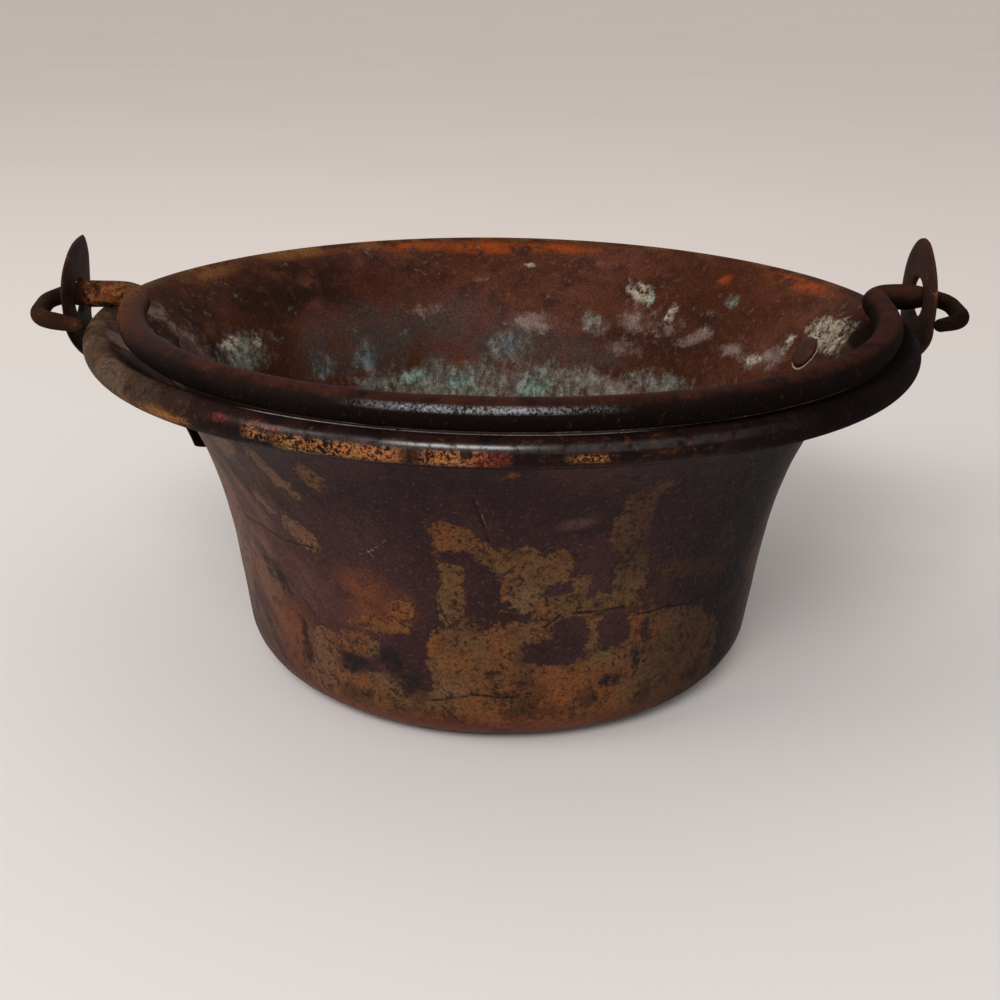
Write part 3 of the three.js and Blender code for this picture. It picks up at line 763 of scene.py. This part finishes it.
# %% Inside finish
def inside_finish():
    f = Finish("stained_copper")
    mottle, fine, grain = f.noise(90, 6, 0.62), f.noise(380, 5, 0.68), f.noise(1400, 2)
    past, shade, polished = f.painted("past_crest"), f.painted("bail_shade"), f.painted("polished")
    wall_colour, dull, scoured_glow = inside_wall(f, mottle, fine)
    lip = f.smooth(past + (fine - 0.5) * 3, -4, -1)
    colour = f.layers(
        f.mix(lip, wall_colour, lip_roll(f, past, mottle, fine)),
        (f.painted("honey") * f.smooth(mottle, 0.36, 0.56) * 0.7, "#85562c"),
        (shade * 0.9, "#0b0706"),
        (f.smooth(grain, 0.4, 0.62) * 0.4, "#0d0808"),
    )
    roughness = 0.62 + (fine - 0.5) * 0.3 + dull * 0.1 - lip * polished * 0.32 - scoured_glow * 0.15
    roughness = roughness + shade * 0.5 + f.painted("lip_shade_right") * 0.3
    metallic = scoured_glow * 0.35 + lip * 0.1
    height = mottle * 0.5 + fine * 0.4 + grain * 0.15 + dull * 0.4
    coat = polished * (1 - f.smooth(abs(past - 3.9), 0.5, 1.3)) * f.smooth(fine, 0.3, 0.55)
    return f.surface(colour, roughness, metallic, height, 0.25, 0.03, coat)


# %% Dress the pot
pot.data.materials.append(outside_finish())
pot.data.materials.append(inside_finish())
for polygon in pot.data.polygons[len(outside_faces) : len(outside_faces) + len(inside_faces)]:
    polygon.material_index = 1
print("the inside finish covers", len(inside_faces), "faces of the pot")

# %% [markdown]
# ## The wire in the rim
# An iron wire lies in the roll of the lip and only shows as a dark thread in the slit beneath. A torus
# would do, but the lip is out of round, so the wire is turned with the same squash and sag and stays in
# its roll.

# %% Rim wire
WIRE_SIDES = 10
wire_section = arc(WIRE_CENTRE, RIM_WIRE_RADIUS, 0, 2 * math.pi, WIRE_SIDES + 1)[:-1]
wire_radius = wire_section[:, :1] + squash[-1]
wire_height = wire_section[:, 1:] + sag[-1]
wire_rows = np.stack([wire_radius * np.sin(turn), -wire_radius * np.cos(turn), wire_height], 2)
wire_points = wire_rows.transpose(1, 0, 2).reshape(-1, 3)
wire_faces = []
for a, b, next_b, next_a in ring_faces(TURNS + 1, WIRE_SIDES):
    wire_faces.append(tuple(point % len(wire_points) for point in (a, next_a, next_b, b)))
wire = make_piece("rim_wire_ring", wire_points, wire_faces, "vessel", "rim_wire")

# %% [markdown]
# ## The forged ears
# Each ear is one plate of iron: a leaf with an eye that stands outside the lip, a neck that goes in under
# it, and a shield that lies on the flare and takes the rivets. A smith draws the edges thin, so the plate
# is swept as a section that thins towards its edges instead of an extruded outline with sharp ones. No
# two edges were forged alike, so each has its own line. The left leaf was knocked: it is blunt and lower,
# with its tip at the back, its eye is smaller, and the front corner of its shield stands off the wall.
# The eye is cut with a spool, whose flared ends round its edges.

# %% Sizes of an ear, in millimetres
EAR_THICKNESS, EAR_STANDOFF, HINGE_HEIGHT, LEAF_TOP = 2, 4, 117.6, 136.6
LEAF_MIDDLE = LIP_RADIUS + EAR_STANDOFF + EAR_THICKNESS / 2
SHIELD_END, FOOT_TOP, BEND_TOP = 68, 100, 109
FOOT_OFFSET = SHEET / 2 + FIT_GAP + EAR_THICKNESS / 2
FOOT_PULL, LEAF_PULL = 6, 14
LEAF_HALF, SHIELD_HALF, SHIELD_TIP, SHIELD_CORNER = 16.5, 22.5, 10, (13.5, 71.5)
NECK_HALF, WIDE_NECK_HALF, NECK_HEIGHT = 13, 16.2, 104.5
LEAN_DROP_AND_CORNER = {"left": (0.8, 2.4, 2.6), "right": (0.3, 0, 0)}
EYE_RADIUS_AND_RISE = {"left": (5.4, -0.9), "right": (6.2, 0)}

# %% Side line of an ear
foot = []
for height in np.linspace(SHIELD_END - 6, FOOT_TOP, 30):
    foot.append(wall_at(height)[0] + wall_at(height)[2] * FOOT_OFFSET)
bend_pulls = [foot[-1] + wall_at(FOOT_TOP)[1] * FOOT_PULL, (LEAF_MIDDLE, BEND_TOP - LEAF_PULL)]
bend = bezier([foot[-1], *bend_pulls, (LEAF_MIDDLE, BEND_TOP)], 24)
side_line = np.vstack([foot, bend[1:], [(LEAF_MIDDLE, LEAF_TOP)]])
print("side line of an ear:", round(run_along(side_line)[-1], 1), "mm long")

# %% Edges of the ears, each as its distance from the middle and its height
shield_side = (SHIELD_HALF, PAIR_HEIGHT)
round_end = arc((0, SHIELD_END + SHIELD_TIP), SHIELD_TIP, -math.pi / 2, 0, 12)
round_side = bezier([(SHIELD_TIP, 78), (SHIELD_TIP, 85), (SHIELD_HALF, 87.3), shield_side], 12)
round_shield = [round_end, round_side[1:]]
corner_end = bezier([(0, SHIELD_END), (8, SHIELD_END), SHIELD_CORNER], 12)
corner_side = bezier([SHIELD_CORNER, (11.5, 82), (SHIELD_HALF, 86), shield_side], 12)
corner_shield = [corner_end, corner_side[1:]]
leaf_side = (LEAF_HALF, HINGE_HEIGHT)


def neck(half):
    """The edge of the neck, which goes in to its narrowest place and out again to the leaf."""
    narrowest = (half, NECK_HEIGHT)
    goes_in = bezier([shield_side, (SHIELD_HALF, 101.3), (half, 100.2), narrowest], 12)
    goes_out = bezier([narrowest, (half, 108.8), (LEAF_HALF, 108.1), leaf_side], 12)
    return [goes_in[1:], goes_out[1:]]


def ear_edge(shield, neck_half, *leaf_pulls):
    """A whole edge, from the end of the shield to the tip of the leaf."""
    leaf = bezier([leaf_side, *leaf_pulls], 24)
    return np.vstack([*shield, *neck(neck_half), leaf[1:]])


even_leaf = [(LEAF_HALF, 128), (7, LEAF_TOP - 0.5), (0, LEAF_TOP)]
even_edge = ear_edge(round_shield, NECK_HALF, *even_leaf)
wide_edge = ear_edge(round_shield, WIDE_NECK_HALF, *even_leaf)
blunt_edge = ear_edge(corner_shield, NECK_HALF, (18, 131), (8, LEAF_TOP - 0.2), (-11, LEAF_TOP))
steep_edge = ear_edge(round_shield, NECK_HALF, (19, 124.5), (16, 133), (11, LEAF_TOP))
EDGES = {"left": (blunt_edge, steep_edge), "right": (wide_edge, even_edge)}
print("edges of the ears:", [len(edge) for pair in EDGES.values() for edge in pair], "points")

# %% Sweep the plate
EAR_ROWS, EAR_COLUMNS, END_ROUNDING = 110, 30, 1.4
BEATEN_DEPTH, BEATEN_SPACING, CORNER_HEIGHTS, CORNER_REACH = 0.25, 7, (78, 86), (7, 13)
share_up = 0.5 - 0.5 * np.cos(np.linspace(0, math.pi, EAR_ROWS))
heights = SHIELD_END + (LEAF_TOP - SHIELD_END) * share_up
middle = np.stack([np.interp(heights, side_line[:, 1], side_line[:, 0]), heights], 1)
ear_across = directions(middle)[1]
from_end = np.minimum(heights - SHIELD_END, LEAF_TOP - heights)
end_round = np.sqrt(1 - (1 - np.clip(from_end / END_ROUNDING, 0, 1)) ** 2)
spread = np.linspace(-1, 1, EAR_COLUMNS // 2 + 1)
spread = spread * (1.5 - 0.5 * spread**2)
loop = np.concatenate([spread, spread[-2:0:-1]])
face_side = np.concatenate([np.ones(len(spread)), -np.ones(len(spread) - 2)])


def ear_points(name, seed):
    lean, lowered, corner_lift = LEAN_DROP_AND_CORNER[name]
    front, back = [np.interp(heights, edge[:, 1], edge[:, 0]) for edge in EDGES[name]]
    points = []
    for row in range(EAR_ROWS):
        bent = smooth_step(heights[row], HINGE_HEIGHT, LEAF_TOP)
        lift = corner_lift * (1 - smooth_step(heights[row], *CORNER_HEIGHTS))
        for share, face in zip(loop, face_side):
            y = (back[row] - front[row]) / 2 + (back[row] + front[row]) / 2 * share
            drawn = (1 - 0.4 * share**4) * (1 - abs(share) ** 9) ** (1 / 4)
            half = EAR_THICKNESS / 2 * end_round[row] * drawn
            place = Vector((y / BEATEN_SPACING, heights[row] / BEATEN_SPACING, seed + face))
            beaten = BEATEN_DEPTH * noise.noise(place)
            x, z = middle[row] + ear_across[row] * face * half * (1 - abs(beaten))
            x += lift * smooth_step(-y, *CORNER_REACH)
            on_wall = math.sqrt(x * x - y * y)
            flat = float(smooth_step(z, FOOT_TOP, BEND_TOP))
            points.append((on_wall + (x - on_wall) * flat - lean * bent, y, z - lowered * bent))
    return np.array(points)


# %% Cut the eye
SPOOL_SIDES, SHARP_ANGLE = 40, math.radians(50)


def end_caps(rings, sides):
    """The two flat faces that close a tube of rings."""
    last = sides * (rings - 1)
    return [tuple(range(sides - 1, -1, -1)), tuple(range(last, last + sides))]


def facing_out(faces, side):
    """Turns the faces of a left piece over, because its points are mirrored."""
    return [face[::-1] for face in faces] if side < 0 else faces


def spool(side, radius, rise):
    """The cutter for an eye: a round bar along X that flares at both faces of the leaf."""
    half = EAR_THICKNESS / 2
    half_line = np.array([[half - 0.6, 0], [half - 0.25, 0.3], [half + 0.1, 0.8], [5, 0.8]])
    line = np.vstack([half_line[::-1] * (-1, 1), half_line])
    points = []
    for length, flaring in line:
        for a in np.linspace(0, 2 * math.pi, SPOOL_SIDES, endpoint=False):
            r = radius + flaring
            height = HINGE_HEIGHT + rise + r * math.sin(a)
            points.append((side * (LEAF_MIDDLE + length), r * math.cos(a), height))
    faces = ring_faces(len(line), SPOOL_SIDES) + end_caps(len(line), SPOOL_SIDES)
    return make_object("spool", points, facing_out(faces, side))


def cut(piece, cutter):
    """Takes the cutter out of the piece and throws the cutter away."""
    boolean = piece.modifiers.new("eye", "BOOLEAN")
    boolean.object, boolean.operation, boolean.solver = cutter, "DIFFERENCE", "EXACT"
    evaluated = piece.evaluated_get(bpy.context.evaluated_depsgraph_get())
    whole = piece.data
    piece.data = bpy.data.meshes.new_from_object(evaluated)
    piece.modifiers.clear()
    bpy.data.meshes.remove(whole)
    bpy.data.objects.remove(cutter)
    piece.data.shade_smooth()
    piece.data.set_sharp_from_angle(angle=SHARP_ANGLE)
    print("cut the eye of", piece.name)


# %% Both ears
def make_ear(name, side):
    points = ear_points(name, 11 + side)
    points[:, 0] *= side
    faces = facing_out(ring_faces(EAR_ROWS, len(loop)), side)
    ear = make_piece(name + "_forged_ear", points, faces, "vessel", name + "_ear")
    cut(ear, spool(side, *EYE_RADIUS_AND_RISE[name]))
    return ear


ears = [make_ear("left", -1), make_ear("right", 1)]

# %% [markdown]
# ## The rivets
# Three copper rivets hold each ear, with a hammered head inside the pot and one outside. A sphere cut in
# half looks machine made, so each head is a low dome with its own lopsided noise, turned about the line
# that stands square to the wall where the rivet goes through. On the left the heads inside are beaten
# flatter.

# %% Rivet head
RIVET_SHANK, HEAD_RADIUS, HEAD_HEIGHT, HEAD_SKIRT, RIVET_SIDES = 2.3, 6, 1.9, 0.3, 28
FLATTENED_SHARE, LOPSIDED_SHARE, KNOCK_DEPTH, KNOCK_SPACING = 0.45, 0.05, 0.22, 3


def head_line(seat, way, tall=HEAD_HEIGHT):
    """The outline of a head from its edge to its middle, with a thin skirt that meets what it sits on."""
    dome = arc((0, 0), 1, 0, math.pi / 2, 8) * (HEAD_RADIUS, tall - HEAD_SKIRT)
    dome[-1, 0] = 0.02
    skirt = [(HEAD_RADIUS - HEAD_SKIRT, seat - way * 0.1), (HEAD_RADIUS, seat + way * 0.2)]
    return np.vstack([skirt, np.stack([dome[1:, 0], seat + way * (dome[1:, 1] + HEAD_SKIRT)], 1)])


# %% Make the rivets
def make_rivet(name, side, height, angle, seed):
    point, along, outward = wall_at(height)
    inner = -(SHEET / 2 + FIT_GAP + HEAD_RADIUS**2 / (2 * point[0]))
    outer = FOOT_OFFSET + EAR_THICKNESS / 2 + FIT_GAP
    shank = [(RIVET_SHANK, inner), (RIVET_SHANK, outer)]
    tall_inside = HEAD_HEIGHT * (FLATTENED_SHARE if side < 0 else 1)
    line = np.vstack([head_line(inner, -1, tall_inside)[::-1], shank, head_line(outer, 1)])
    points = []
    for r, length in line:
        for a in np.linspace(0, 2 * math.pi, RIVET_SIDES, endpoint=False):
            lop = noise.noise(Vector((1.3 * math.cos(a), 1.3 * math.sin(a), seed + 0.2 * length)))
            at = (r * math.cos(a) / KNOCK_SPACING, r * math.sin(a) / KNOCK_SPACING, seed)
            knock = KNOCK_DEPTH * (1 + noise.noise(Vector(at)))
            wide = r * (1 - LOPSIDED_SHARE * (1 + lop))
            tall = length - math.copysign(knock, length) * (1 - (r / HEAD_RADIUS) ** 2)
            beside, rise = wide * math.cos(a), wide * math.sin(a)
            x = point[0] + outward[0] * tall - along[0] * rise
            z = point[1] + outward[1] * tall - along[1] * rise
            turned_x = x * math.cos(angle) - beside * math.sin(angle)
            turned_y = x * math.sin(angle) + beside * math.cos(angle)
            points.append((side * turned_x, turned_y, z))
    faces = ring_faces(len(line), RIVET_SIDES) + end_caps(len(line), RIVET_SIDES)
    return make_piece(name + "_copper", points, facing_out(faces, side), "vessel", name)


rivets = []
for ear_name, side in (("left", -1), ("right", 1)):
    for number, (place_name, height, angle) in enumerate(rivet_places):
        name = f"{ear_name}_ear_{place_name}_rivet"
        rivets.append(make_rivet(name, side, height, angle, 5 * side + number))

# %% [markdown]
# ## The bail
# The bail is a round rod, bent hot into a half oval. Its ends are drawn thin, put out through the eyes
# and curled forward into hooks. No smith bends both halves alike, so each has its own span and its own
# hook. A curve object with a bevel would give an even tube; sweeping the rings here lets each one have
# its own radius, so the rod thins at the hooks and keeps small flats from the hammer.

# %% Sizes of the bail, in millimetres
BAIL_RADIUS, HOOK_RADIUS, TIP_RADIUS, BAIL_REACH, SHOULDER = 4.3, 2.7, 2.1, 125, 11
HOOK_BEND, HOOK_REACH, HOOK_OPENING, HOOK_DROOP = 9, 24.5, math.radians(25), math.radians(7)
BOW_SQUARENESS, DRAWN_FROM, DRAWN_LENGTH, TIP_LENGTH, TIP_ROUNDING = 2.1, 130, 12, 12, 2
TIP_CLOSED_SHARE = 0.998
LEFT_SPAN_TIP_AND_LEG, RIGHT_SPAN_TIP_AND_LEG = (114, 142.3, 12.4), (118, 143, 6.5)


# %% Half of the bail, from its front to the tip of its hook
def bow_line(half_span):
    """A quarter of an oval and the shoulder that turns out to the eye."""
    shoulder_angle = math.acos(SHOULDER / BAIL_REACH)
    quarter = arc((0, 0), 1, math.pi / 2, math.pi / 2 - shoulder_angle, 90)
    bow = np.clip(quarter, 0, 1) ** (2 / BOW_SQUARENESS) * (half_span, BAIL_REACH)
    way = bow[-1] - bow[-2]
    corner = np.array([bow[-1][0] - way[0] / way[1] * bow[-1][1], 0])
    return np.vstack([bow, bezier([bow[-1], corner, corner + (SHOULDER, 0)], 14)[1:]])


def hook_line(outermost, leg_length):
    """Out through the eye, forward along the leaf and back towards the lip, opening a little."""
    bend_x = outermost - HOOK_BEND
    out_bend = arc((bend_x, HOOK_BEND), HOOK_BEND, -math.pi / 2, 0, 12)
    back_bend = arc((bend_x, HOOK_REACH - HOOK_BEND), HOOK_BEND, 0, math.pi / 2 - HOOK_OPENING, 12)
    leg_way = np.array([-math.cos(HOOK_OPENING), math.sin(HOOK_OPENING)])
    leg = np.linspace(back_bend[-1], back_bend[-1] + leg_way * leg_length, 9)
    return np.vstack([out_bend, back_bend[1:], leg[1:]])


def half_bail(half_span, outermost, leg_length):
    """Points along one half, as it lies on the right, and the radius at each of them."""
    bow = bow_line(half_span)
    hook = hook_line(outermost, leg_length)
    straight = np.linspace(bow[-1], hook[0], 6)[1:-1]
    flat = np.vstack([bow, straight, hook])
    before_hook = len(flat) - len(hook)
    droop = np.where(np.arange(len(flat)) < before_hook, 0, HOOK_DROOP)
    line = np.stack([flat[:, 0], -flat[:, 1] * np.cos(droop), -flat[:, 1] * np.sin(droop)], 1)
    length = run_along(flat)
    drawn = length - np.interp(DRAWN_FROM, flat[: before_hook + 1, 0], length[: before_hook + 1])
    radius = BAIL_RADIUS + (HOOK_RADIUS - BAIL_RADIUS) * smooth_step(drawn, 0, DRAWN_LENGTH)
    to_tip = length[-1] - length
    radius += (TIP_RADIUS - HOOK_RADIUS) * (1 - smooth_step(to_tip, 0, TIP_LENGTH))
    closing = 1 - np.clip(to_tip / TIP_ROUNDING, 0, 1)
    return line, radius * np.sqrt(1 - TIP_CLOSED_SHARE * closing**2)


left_line, left_radius = half_bail(*LEFT_SPAN_TIP_AND_LEG)
right_line, right_radius = half_bail(*RIGHT_SPAN_TIP_AND_LEG)
bail_line = np.vstack([left_line[:0:-1] * (-1, 1, 1), right_line])
bail_radius = np.concatenate([left_radius[:0:-1], right_radius])
print("bail line:", len(bail_line), "rings,", np.ptp(bail_line[:, 0]).round(1), "mm across")

# %% Sweep the rod
ROD_SIDES, FLAT_DEPTH, FLAT_SPACING = 22, 0.06, 9
bail_points = []
for place, along, radius in zip(bail_line, way_along(bail_line), bail_radius):
    beside = np.cross(along, (0, 0, 1))
    beside /= np.linalg.norm(beside)
    above = np.cross(beside, along)
    for a in np.linspace(0, 2 * math.pi, ROD_SIDES, endpoint=False):
        way = above * math.cos(a) + beside * math.sin(a)
        flat = FLAT_DEPTH * (0.5 + 0.5 * noise.noise(Vector(place / FLAT_SPACING) + Vector(way) * 0.9))
        bail_points.append(place + way * radius * (1 - flat) + (0, 0, HINGE_HEIGHT))
bail_faces = ring_faces(len(bail_line), ROD_SIDES) + end_caps(len(bail_line), ROD_SIDES)
bail = make_piece("swinging_bail", bail_points, bail_faces, "bail", "bail")

# %% [markdown]
# ## Iron and rivet finishes
# Forged iron is nearly black, with brown scale in the hollows, rust where damp sits, and grey metal where
# hands rub. Each piece could have a material of its own, but one function keeps all the iron alike. The
# bail gets more coats: a bright band on top of its bow that is wear and a painted highlight, rust on its
# left shoulder, a ruddy top that is a painted reflection, and painted shade on its underside and towards
# its right end. The rivets are brown copper, painted greyer on the left as a sheen.


# %% Where the bail is worn, damp and dark
def front_of_bow(f, x, y, z):
    """Hands rub the top of the bow, a little left of its middle, and a highlight is painted there as well.
    """
    near_middle = 1 - f.smooth(abs(x + 10), 8, 38)
    on_top = 1 - f.smooth(abs(z - 119.6), 0.1, 1.2)
    return near_middle * on_top * f.smooth(-y, 60, 120)


def left_shoulder(f, x, y):
    """Damp sits on the left shoulder of the rod, inside the eye."""
    hook = f.smooth(f.smooth(-x, 130, 134) + f.smooth(-x, 118, 124) * f.smooth(-y, 14, 18), 0, 1)
    return f.smooth(-x, 100, 116) * (1 - hook) * (1 - f.smooth(-y, 10, 50) * 0.6)


def bail_shades(f, x, z, below, mottle):
    """Coats that only the bail has: painted shade towards its right end, a painted reflection that makes
    the top ruddy, and black painted shade below.
    """
    # painted shade: darkens the bow, more towards its right end
    gloom = f.smooth(x, -122, -92) * (0.74 + 0.18 * f.smooth(x, 10, 60)) * (1 - f.smooth(x, 108, 121))
    return [
        (gloom, "#0d0706"),
        # painted reflection of the copper inside, on the top of the rod
        (f.smooth(z, 119.6, 121.6) * f.smooth(mottle, 0.3, 0.6) * 0.5, "#4a241b"),
        # painted shade on the underside
        (below * f.smooth(x, -124, -96) * 0.85, "#0b0706"),
    ]


# %% Iron finish
def iron_finish(name, rust_amount, is_bail=False):
    f = Finish(name)
    cloud, mottle = f.noise(40, 4), f.noise(170, 6, 0.65)
    fine, grain = f.noise(620, 5, 0.7), f.noise(1900, 2)
    rust = f.smooth(mottle + (fine - 0.5) * 0.6, 0.72 - rust_amount, 0.86 - rust_amount)
    flecks = f.smooth(f.noise(900, 4, 0.72) + (mottle - 0.5) * 0.3, 0.6, 0.68)
    wear_and_highlight = f.smooth(f.noise(1500, 4, 0.7) + (mottle - 0.5) * 0.5, 0.38, 0.66)
    shades, rougher = [], []
    if is_bail:
        x, y, z = f.axes()
        # painted shade: the underside of the rod
        below = 1 - f.smooth(z, 116.6, 120.8)
        rust = rust * 0.35 + left_shoulder(f, x, y) * f.smooth(mottle + (fine - 0.5) * 0.5, 0.32, 0.56)
        wear_and_highlight = wear_and_highlight * front_of_bow(f, x, y, z) * 0.68
        shades = bail_shades(f, x, z, below, mottle)
        rougher = [below * 0.4, f.smooth(x, 40, 90) * 0.3]
    else:
        wear_and_highlight = wear_and_highlight * 0.02
    colour = f.layers(
        f.mix(f.smooth(cloud, 0.35, 0.65), "#21130d", "#362017"),
        (f.smooth(mottle, 0.46, 0.7) * 0.6, "#422718"),
        (rust * 0.8, f.mix(f.smooth(fine, 0.42, 0.64), "#6a3b20", "#9c6238")),
        *shades,
        (flecks * 0.2, "#6b4028"),
        # wear on the bow, with a painted highlight
        (wear_and_highlight, "#a6a8ac"),
    )
    roughness = sum(rougher, 0.6 + (mottle - 0.5) * 0.3 + rust * 0.2 - wear_and_highlight * 0.1)
    height = mottle * 0.6 + fine * 0.5 + grain * 0.15 + rust * 0.3
    return f.surface(colour, roughness, 0.05 + wear_and_highlight * 0.3, height, 0.3, 0.04)


# %% Rivet finish
def rivet_finish():
    f = Finish("rivet_copper")
    mottle, fine = f.noise(160, 5, 0.6), f.noise(700, 4, 0.65)
    # painted sheen: the rivets are lighter and greyer on the left
    left_sheen = f.smooth(-f.axes()[0], 0, 60)
    colour = f.layers(
        f.mix(f.smooth(mottle, 0.36, 0.64), "#321c15", "#462619"),
        (f.smooth(fine, 0.58, 0.72) * 0.3, "#6d5848"),
        (left_sheen * f.smooth(mottle, 0.3, 0.6) * 0.5, "#5a463f"),
    )
    roughness, metallic = 0.55 + (fine - 0.5) * 0.3, 0.2 + (mottle - 0.5) * 0.3
    return f.surface(colour, roughness, metallic, mottle * 0.5 + fine * 0.4, 0.25, 0.12)


# %% Dress the iron and the rivets
bail.data.materials.append(iron_finish("bail_iron", 0.05, is_bail=True))
ear_iron = iron_finish("ear_iron", 0.1)
rivet_copper = rivet_finish()
for ear in ears:
    ear.data.materials.clear()
    ear.data.materials.append(ear_iron)
for rivet in rivets:
    rivet.data.materials.append(rivet_copper)
wire.data.materials.append(iron_finish("wire_iron", 0.2))

# %% [markdown]
# ## Floor, light and camera
# A wide pale floor fills the view, so the pot stands on a plain ground and its polished places have
# something pale to mirror. A picture of a real room could light it, but its windows would show in the
# metal. One large soft lamp in front and to the left gives shape and throws the shadow back to the right,
# a second one lifts the left side, and the world fills in. Levels are plain: a colour comes out about as
# bright as written.

# %% Floor
FLOOR_HALF = 40 * METRE
corners = [(-FLOOR_HALF, -FLOOR_HALF, 0), (FLOOR_HALF, -FLOOR_HALF, 0)]
corners += [(FLOOR_HALF, FLOOR_HALF, 0), (-FLOOR_HALF, FLOOR_HALF, 0)]
floor = make_object("floor", corners, [(0, 1, 2, 3)])
pale = Finish("pale_floor")
floor_depth = pale.axes()[1]
# painted light: the floor is lighter further back, standing in for light that the lamps lose with distance
floor_colour = pale.mix(pale.smooth(floor_depth, -200, 900), "#e4e0dd", "#fdf1e9")
floor_colour = pale.mix(pale.noise(3, 2) * 0.3, floor_colour, "#ded7d2")
floor_roughness = 0.9 + pale.noise(200, 2) * 0.05
floor_finish = pale.surface(floor_colour, floor_roughness, 0, pale.noise(900, 2), 0.05, 0.2)
floor.data.materials.append(floor_finish)

# %% Light
WORLD_COLOUR, WORLD_STRENGTH, LAMP_AIM = (1, 0.975, 0.96, 1), 0.55, Vector((0, 0, 0.06))
world = bpy.data.worlds.new("studio")
bpy.context.scene.world = world
world.use_nodes = True
sky = world.node_tree.nodes["Background"].inputs
sky["Color"].default_value = WORLD_COLOUR
sky["Strength"].default_value = WORLD_STRENGTH


def soft_lamp(name, turn_degrees, lift_degrees, distance, size, energy):
    a, e = math.radians(turn_degrees), math.radians(lift_degrees)
    way = Vector((math.sin(a) * math.cos(e), -math.cos(a) * math.cos(e), math.sin(e)))
    lamp = bpy.data.lights.new(name, "AREA")
    lamp.shape, lamp.size, lamp.size_y, lamp.energy = "RECTANGLE", size[0], size[1], energy
    holder = bpy.data.objects.new(name, lamp)
    holder.location = way * distance + LAMP_AIM
    holder.rotation_mode = "QUATERNION"
    holder.rotation_quaternion = way.to_track_quat("Z", "Y")
    bpy.context.scene.collection.objects.link(holder)
    print("lamp", name, "of", energy, "watts")


soft_lamp("key", -14, 40, 1.6, (0.7, 0.45), 12)
soft_lamp("side", -70, 32, 1.6, (0.8, 0.6), 6)

# %% Camera
camera_data = bpy.data.cameras.new("camera")
camera_data.lens, camera_data.sensor_width, camera_data.clip_start = 48.6, 36, 0.01
camera = bpy.data.objects.new("camera", camera_data)
bpy.context.scene.collection.objects.link(camera)
camera_place = Vector((-0.0179, -0.4262, 0.2140))
pitch, roll = 0.3728, 0.0135
level = Vector((-camera_place.x, -camera_place.y, 0)).normalized()
right = level.cross(Vector((0, 0, 1)))
ahead = level * math.cos(pitch) - Vector((0, 0, math.sin(pitch)))
above = right.cross(ahead)
rolled_right = right * math.cos(roll) + above * math.sin(roll)
rolled_up = above * math.cos(roll) - right * math.sin(roll)
axes = Matrix((rolled_right, rolled_up, -ahead)).transposed()
camera.matrix_world = Matrix.Translation(camera_place) @ axes.to_4x4()
bpy.context.scene.camera = camera
bpy.context.scene.view_settings.view_transform = "Standard"
print("camera", round(camera_place.length, 3), "m from the middle of the base")
